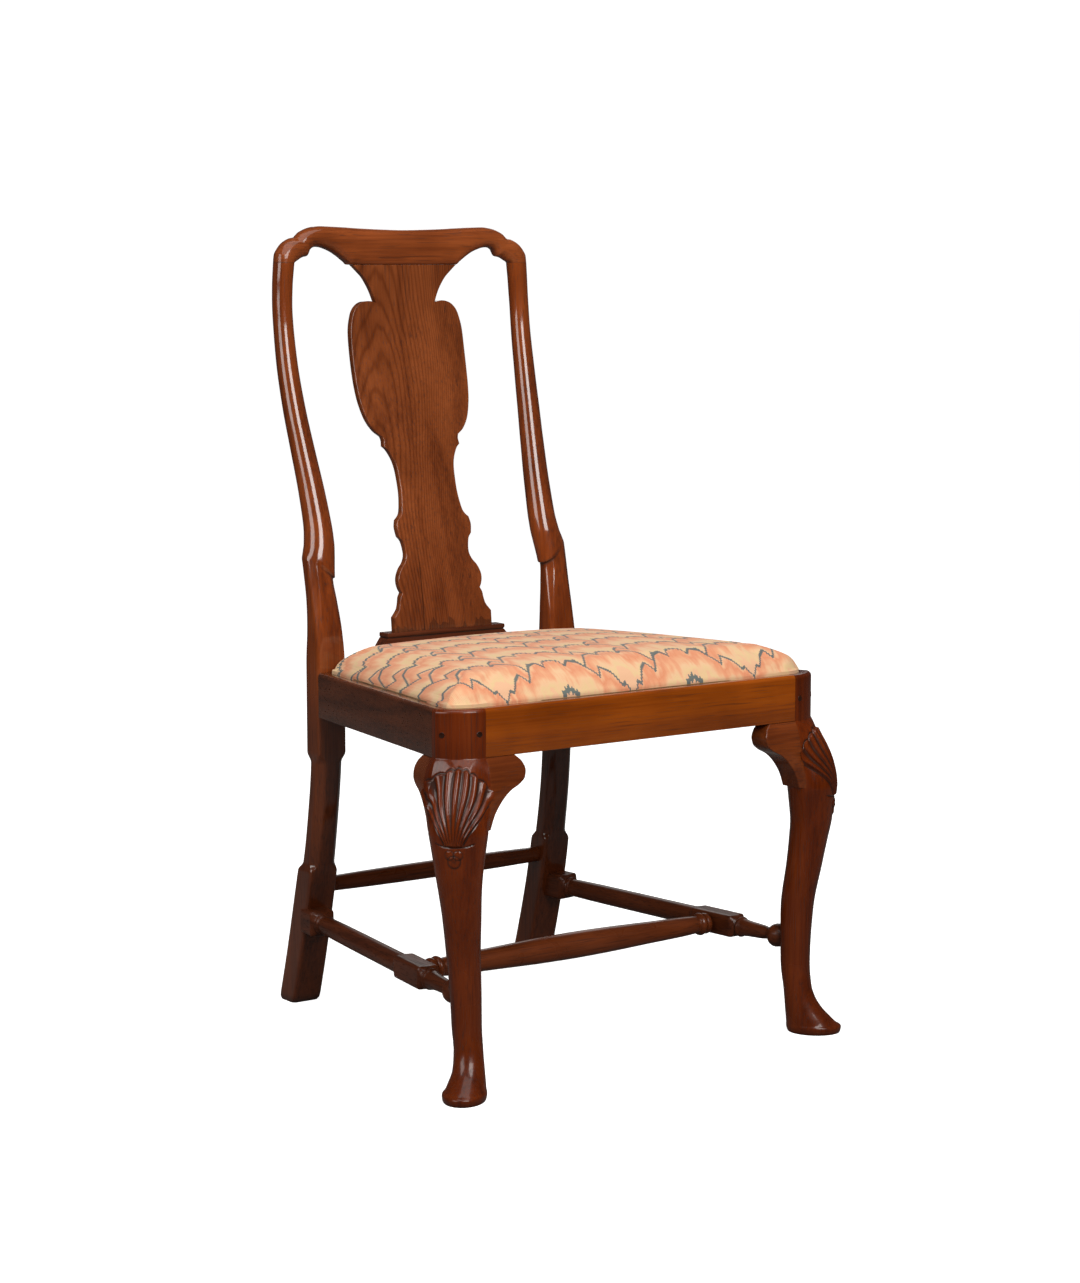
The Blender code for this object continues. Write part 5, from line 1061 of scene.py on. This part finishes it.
def band(name, start, end, crossings, sign, finish):
    """One woven band: a thin flat grid along a line that lifts and dips as a cosine between the bands it
    crosses, closed by the same grid a thickness lower. Its map holds metres across and along."""
    start, end = np.array(start), np.array(end)
    run = np.linalg.norm(end - start)
    way = (end - start) / run
    side = np.array([-way[1], way[0]])
    s = np.linspace(0, run, 120)
    marks = np.concatenate([[0], crossings, [run]])
    lifts = np.concatenate([[0], [sign * (-1) ** k for k in range(len(crossings))], [0]])
    lift = WEB_LIFT * np.clip(1.35 * flow(np.column_stack([marks, lifts]), s)[:, 0], -1, 1)
    around = np.concatenate([np.linspace(-1, 1, 14), np.linspace(1, -1, 14)])
    thick = np.concatenate([np.full(14, WEB_THIN), np.full(14, -WEB_THIN)])
    grid = np.zeros((len(s), len(around), 3))
    grid[..., :2] = start + s[:, None, None] * way + WEB_HALF * around[None, :, None] * side
    grid[..., 2] = WEB_LEVEL + lift[:, None] + thick[None, :]
    piece = skin(name, tilted(grid), finish, sharp=30)
    flat = np.stack(np.broadcast_arrays(WEB_HALF * around, s[:, None]), axis=-1)
    lay_flat(piece, "band", flat.reshape(-1, 2))
    return piece


jute_band = jute("jute_twill")
for x, place, sign in zip(web_columns, ("left", "middle", "right"), (-1, 1, -1)):
    crossings = [web_back - y for y in reversed(web_rows)]
    web = band(place + "_long_band", (x, web_back), (x, web_front), crossings, sign, jute_band)
    join(web, place + "_long_webbing", "slip_seat")
for y, place, sign in zip(web_rows, ("front", "rear"), (-1, 1)):
    half = slip_edge(y + WEB_HALF) - WEB_MARGIN
    crossings = [x + half for x in web_columns]
    web = band(place + "_cross_band", (-half, y), (half, y), crossings, sign, jute_band)
    join(web, place + "_cross_webbing", "slip_seat")


# Cushion: curled hair on a base of hessian, under a cover of wool flame stitch that is drawn over the
# slip frame. It swells in the middle, and its sides pull in between the corners.
CLOTH_LEVEL = 0.4573
PAD_EDGE = 0.4555
CROWN = 0.0395
COVER_INSET = 0.0012
COVER_COLUMNS, COVER_ROWS = 111, 91
COVER_UNDER = 0.43812
CLOTH_THIN = 0.0006
SWELL_FRAMES = 20
MOST_SWELL = 0.004
MOST_SINK = 0.0012
BACK_ROUND = 0.010
SIDE_PULL = 0.003


def seat_half_width(y, inset):
    """Half width of the rebate at a distance behind the front: the straight side or the corner's arc."""
    radius = CORNER_RADIUS - LIP_WIDTH - inset
    rise = np.clip((CORNER_RADIUS - y) / radius, -1, 1)
    corner = STILE_X + np.sqrt(1 - np.where(rise > 0, rise, 0) ** 2) * radius
    return np.where(rise > 0, np.minimum(corner, slip_edge(y, inset)), slip_edge(y, inset))


def crowded(count, share):
    """Numbers from -1 to 1 that lie closer together towards both ends: a sine, cut off at a share of its
    rise."""
    return np.sin(np.linspace(-1, 1, count) * math.pi / 2 * share) / math.sin(math.pi / 2 * share)


def pad_top(columns, rows, inset, edge, crown):
    """The top of the pad as a grid from left to right and front to back: a quarter round along the edges
    that runs into a low dome, drawn in along the middle of each side."""
    u, v = crowded(columns, 0.92), crowded(rows, 0.96)
    front, back = LIP_WIDTH + inset, REAR_STEP - inset
    y = front + (back - front) * (v + 1) / 2
    past = np.clip((y - back + BACK_ROUND) / BACK_ROUND, 0, 1)
    wide = seat_half_width(y, inset) - BACK_ROUND * (1 - np.sqrt(1 - past ** 2))
    grid = np.zeros((rows, columns, 3))
    grid[..., 0] = u * (wide - SIDE_PULL * (1 - v ** 2))[:, None]
    grid[..., 1] = y[:, None] - SIDE_PULL * v[:, None] * (1 - u ** 2)
    side = np.clip((np.abs(u) - 0.83) / 0.17, 0, 1)
    end = np.clip(np.where(v < 0, -v - 0.80, 0.64 * v - 0.44) / 0.20, 0, 1)[:, None]
    swell = (1 - u ** 2) * (1 - v[:, None] ** 2)
    round_over = np.sqrt(1 - np.minimum(1, side ** 5 + end ** 5) ** 0.4)
    grid[..., 2] = edge + crown * round_over * (0.66 + 0.34 * swell ** 0.6)
    return grid


def rim_of(rows, columns):
    """Indices round the edge of a grid, anticlockwise from its front left corner."""
    index = np.arange(rows * columns).reshape(rows, columns)
    return np.concatenate([index[0, :-1], index[:-1, -1], index[-1, :0:-1], index[:0:-1, 0]])


def mesh_of(rows, columns):
    """The faces between the points of an open grid."""
    index = np.arange(rows * columns).reshape(rows, columns)
    return np.stack([index[:-1, :-1], index[:-1, 1:], index[1:, 1:], index[1:, :-1]], axis=-1).reshape(-1, 4)


def pad_shape(columns, rows, inset, edge, crown, skirt):
    """Points, faces and flat map of a pad: the domed top, then a skirt of rings hung from its rim. A ring
    gives how far it lies in from the rebate's edge and its height. The map holds metres along the cloth."""
    top = pad_top(columns, rows, inset, edge, crown)
    across = np.cumsum(np.linalg.norm(np.diff(top, axis=1, prepend=top[:, :1]), axis=-1), axis=1)
    depth = np.cumsum(np.linalg.norm(np.diff(top, axis=0, prepend=top[:1]), axis=-1), axis=0)
    flat = np.stack([across - across[:, [columns // 2]], depth - depth[[rows // 2]]], axis=-1)
    rim = rim_of(rows, columns)
    base = pad_top(columns, rows, inset, edge, 0.0).reshape(-1, 3)[rim]
    bare = pad_top(columns, rows, 0.0, edge, 0.0).reshape(-1, 3)[rim]
    ahead = np.roll(base, -2, axis=0) - np.roll(base, 2, axis=0)
    normal = np.stack([ahead[:, 1], -ahead[:, 0]], axis=1)
    normal /= np.linalg.norm(normal, axis=1)[:, None]
    points, maps = [top.reshape(-1, 3)], [flat.reshape(-1, 2)]
    faces = [mesh_of(rows, columns)]
    above, hung, last = rim, 0.0, base
    for draw, height in skirt:
        ring = np.column_stack([bare[:, :2] - normal * draw, np.full(len(rim), height)])
        hung = hung + np.linalg.norm(ring - last, axis=1).mean()
        below = np.arange(len(rim)) + sum(len(p) for p in points)
        faces.append(np.stack([below, np.roll(below, -1), np.roll(above, -1), above], axis=-1))
        points.append(ring)
        maps.append(flat.reshape(-1, 2)[rim] + normal * hung)
        above, last = below, ring
    return np.vstack(points), np.vstack(faces), np.vstack(maps)


def cushion_piece(name, points, faces, flat, finish):
    """One cushion piece with its flat map as a UV map."""
    piece = piece_of(name, tilted(points.copy()), faces.tolist(), finish, sharp=70)
    lay_flat(piece, "cloth", flat)
    return piece


def plain_weave(name, dark, light, pitch):
    """Open plain weave: two crossed sets of round threads, with slubs."""
    finish, tree, shader = new_finish(name)
    cloth = node(tree, "UVMap", uv_map="cloth").outputs[0]
    across, along = node(tree, "SeparateXYZ", {"Vector": cloth}).outputs[:2]
    warp = sums(tree, "SINE", sums(tree, "MULTIPLY", across, 2 * math.pi / pitch))
    weft = sums(tree, "SINE", sums(tree, "MULTIPLY", along, 2 * math.pi / pitch))
    thread = sums(tree, "MULTIPLY_ADD", sums(tree, "ADD", warp, weft), 0.25, 0.5)
    slub = node(tree, "TexNoise", {"Scale": 210.0, "Detail": 3.0,
                                   "Vector": node(tree, "TexCoord").outputs["Object"]}).outputs[0]
    level = sums(tree, "MULTIPLY_ADD", thread, 0.6, sums(tree, "MULTIPLY", slub, 0.4))
    bump = node(tree, "Bump", {"Height": thread, "Strength": 0.5, "Distance": 0.0005}).outputs[0]
    colour = ramp(tree, level, [(0.2, dark), (0.75, light)])
    feed(tree, shader, base_color=colour, normal=bump, roughness=0.95, specular_ior_level=0.05)
    return finish


def flame_stitch(name):
    """Wool flame stitch. Rows of peaks stand half a width apart; a row's outline is a stepped curve of the
    distance from its peak, and each row covers the ones behind it. A stitch is coloured by how far it lies
    in front of its row's outline: a dark line, then salmon, peach and straw, streaked along the stitches."""
    wide, deep, apart = 0.1825, 0.080, 0.0625
    cloth_middle = 0.2158
    finish, tree, shader = new_finish(name)
    cloth = node(tree, "UVMap", uv_map="cloth").outputs[0]
    split = node(tree, "SeparateXYZ", {"Vector": cloth})
    column = sums(tree, "SNAP", split.outputs[0], 0.0019)
    drift = node(tree, "TexNoise", {"Vector": cloth, "Scale": 14.0, "Detail": 1.0}).outputs[0]
    drift = sums(tree, "MULTIPLY", sums(tree, "SUBTRACT", drift, 0.5), 0.006)
    along = sums(tree, "ADD", split.outputs[1], drift)

    def outline(middle, tip):
        """For one set of rows: the number of the first row whose outline lies behind a stitch, how far
        behind it lies, and how far the nearest peak lies to the side, in metres."""
        peak = sums(tree, "PINGPONG", sums(tree, "SUBTRACT", column, middle), wide / 2)
        curve = node(tree, "FloatCurve", {"Value": sums(tree, "DIVIDE", peak, wide / 2)})
        steps = [(0.0, 1.0), (0.03, 0.94), (0.055, 0.99), (0.09, 0.90), (0.11, 0.94), (0.16, 0.76),
                 (0.25, 0.89), (0.375, 0.82), (0.55, 0.42), (0.63, 0.63), (0.75, 0.49), (0.85, 0.24),
                 (0.90, 0.29), (1.0, 0.0)]
        points = curve.mapping.curves[0].points
        while len(points) < len(steps):
            points.new(0.5, 0.5)
        for point, place in zip(points, steps):
            point.location = place
            point.handle_type = "VECTOR"
        curve.mapping.update()
        crest_line = sums(tree, "MULTIPLY_ADD", curve.outputs[0], deep, tip - deep)
        row = sums(tree, "DIVIDE", sums(tree, "SUBTRACT", along, crest_line), apart)
        first = sums(tree, "MAXIMUM", sums(tree, "CEIL", row), 1.0)
        return first, sums(tree, "MULTIPLY", sums(tree, "SUBTRACT", first, row), apart), peak

    even_row, even, middle = outline(-0.0975, 0.0085 - cloth_middle)
    odd_row, odd, _ = outline(-0.0063, 0.0285 - cloth_middle)
    behind = sums(tree, "GREATER_THAN", sums(tree, "SUBTRACT", even_row, odd_row), 0.5)
    inside = node(tree, "Mix", {0: behind, 2: even, 3: odd}, data_type="FLOAT").outputs[0]
    streak_map = node(tree, "Mapping", {"Vector": cloth, "Scale": (1, 0.16, 1)}).outputs[0]
    streak = node(tree, "TexNoise", {"Vector": streak_map, "Scale": 170.0, "Detail": 3.0}).outputs[0]
    bloom = node(tree, "TexNoise", {"Vector": cloth, "Scale": 32.0, "Detail": 3.0}).outputs[0]
    tone = sums(tree, "DIVIDE", inside, apart)
    tone = sums(tree, "ADD", tone, sums(tree, "MULTIPLY", sums(tree, "SUBTRACT", streak, 0.5), 0.75))
    tone = sums(tree, "ADD", tone, sums(tree, "MULTIPLY", sums(tree, "SUBTRACT", bloom, 0.5), 0.9))
    wool = ramp(tree, tone, [(0.00, (0.66, 0.38, 0.22)), (0.22, (0.60, 0.23, 0.12)),
                             (0.46, (0.64, 0.31, 0.17)), (0.68, (0.65, 0.41, 0.24)),
                             (0.92, (0.62, 0.44, 0.23)), (1.0, (0.65, 0.38, 0.23))])
    line = sums(tree, "LESS_THAN", sums(tree, "ADD", inside, sums(tree, "MULTIPLY", streak, 0.002)), 0.0068)
    teeth = sums(tree, "PINGPONG", middle, 0.0026)
    crown_top = sums(tree, "MULTIPLY_ADD", middle, -0.9, 0.0115 - cloth_middle)
    crown_top = sums(tree, "MULTIPLY_ADD", teeth, -2.2, crown_top)
    off_crown = sums(tree, "ABSOLUTE", sums(tree, "SUBTRACT", along, crown_top))
    in_crown = sums(tree, "LESS_THAN", off_crown, 0.0056)
    in_crown = sums(tree, "MULTIPLY", in_crown, sums(tree, "LESS_THAN", middle, 0.0125))
    line = sums(tree, "MAXIMUM", line, in_crown)
    wool = tint(tree, sums(tree, "MULTIPLY", line, 0.9), wool, (0.060, 0.105, 0.112, 1))
    ply = sums(tree, "SINE", sums(tree, "MULTIPLY", split.outputs[0], 2 * math.pi / 0.0021))
    fuzz = node(tree, "TexNoise", {"Vector": cloth, "Scale": 900.0, "Detail": 2.0}).outputs[0]
    pile = sums(tree, "MULTIPLY_ADD", ply, 0.3, fuzz)
    bump = node(tree, "Bump", {"Height": pile, "Strength": 0.35, "Distance": 0.0006}).outputs[0]
    feed(tree, shader, base_color=wool, normal=bump, roughness=0.9, specular_ior_level=0.12,
         sheen_weight=0.12)
    return finish


skirt = [(0.0012, 0.4535), (0.0011, 0.4515), (0.0011, 0.4480), (0.0011, 0.4440), (0.0011, 0.4400),
         (0.0016, 0.4386), (0.0040, COVER_UNDER), (0.0200, COVER_UNDER)]
points, faces, flat = pad_shape(COVER_COLUMNS, COVER_ROWS, COVER_INSET, PAD_EDGE, CROWN * 0.93, skirt)
cover = cushion_piece("needlework_cover", points, faces, flat, flame_stitch("wool_flame_stitch"))
hold = cover.vertex_groups.new(name="tacked")
hold.add(list(range(COVER_COLUMNS * COVER_ROWS, len(points))), 1.0, "REPLACE")
hold.add(rim_of(COVER_ROWS, COVER_COLUMNS).tolist(), 1.0, "REPLACE")
swell = cover.modifiers.new("swell", "CLOTH")
swell.settings.quality = 5
swell.settings.mass = 0.3
swell.settings.tension_stiffness = 12
swell.settings.compression_stiffness = 12
swell.settings.bending_stiffness = 0.6
swell.settings.use_pressure = True
swell.settings.uniform_pressure_force = 12
swell.settings.vertex_group_mass = "tacked"
swell.settings.effector_weights.gravity = 0
swell.collision_settings.use_self_collision = False
for step in range(1, SWELL_FRAMES + 1):
    bpy.context.scene.frame_set(step)
puffed = cover.evaluated_get(bpy.context.evaluated_depsgraph_get()).data
after = np.zeros(len(points) * 3, np.float32)
puffed.vertices.foreach_get("co", after)
before = np.zeros(len(points) * 3, np.float32)
cover.data.vertices.foreach_get("co", before)
move = (after - before).reshape(-1, 3)
size = np.linalg.norm(move, axis=1)[:, None]
move *= np.minimum(1.0, MOST_SWELL / np.maximum(size, 1e-9))
move[:, 2] = np.maximum(move[:, 2], -MOST_SINK)
cover.modifiers.remove(swell)
cover.data.vertices.foreach_set("co", (before.reshape(-1, 3) + move).ravel())
bpy.context.scene.frame_set(1)
wall = cover.modifiers.new("cloth_thickness", "SOLIDIFY")
wall.thickness = CLOTH_THIN
wall.offset = -1
join(cover, "seat_cover", "slip_seat")

# The pad lies clear of the cover's sides and crown, so that the cover never dips into it
HAIR_COLUMNS, HAIR_ROWS = 71, 61
HAIR_INSET = 0.012
HAIR_EDGE = 0.4586
hair_skirt = [(0.0125, 0.4582), (0.06, 0.4581)]
points, faces, flat = pad_shape(HAIR_COLUMNS, HAIR_ROWS, HAIR_INSET, HAIR_EDGE, CROWN * 0.64, hair_skirt)
under = np.arange(len(points) - len(rim_of(HAIR_ROWS, HAIR_COLUMNS)), len(points))
hair = plain_weave("curled_hair", (0.010, 0.007, 0.005), (0.060, 0.042, 0.028), 0.004)
pad = piece_of("hair_pad", tilted(points.copy()), faces.tolist() + [under[::-1].tolist()], hair, sharp=70)
join(pad, "seat_stuffing", "slip_seat")

HESSIAN_COLUMNS, HESSIAN_ROWS = 60, 50
HESSIAN_INSET = 0.0095
cloth_top = pad_top(HESSIAN_COLUMNS, HESSIAN_ROWS, HESSIAN_INSET, CLOTH_LEVEL, 0.0)
hessian = plain_weave("hessian_weave", (0.13, 0.085, 0.042), (0.42, 0.31, 0.175), 0.0019)
cloth_points = cloth_top.reshape(-1, 3)
cloth_faces = mesh_of(HESSIAN_ROWS, HESSIAN_COLUMNS)
base = cushion_piece("hessian_base", cloth_points, cloth_faces, cloth_points[:, :2], hessian)
sheet_wall = base.modifiers.new("cloth_thickness", "SOLIDIFY")
sheet_wall.thickness = CLOTH_THIN
sheet_wall.offset = 0
join(base, "base_cloth", "slip_seat")
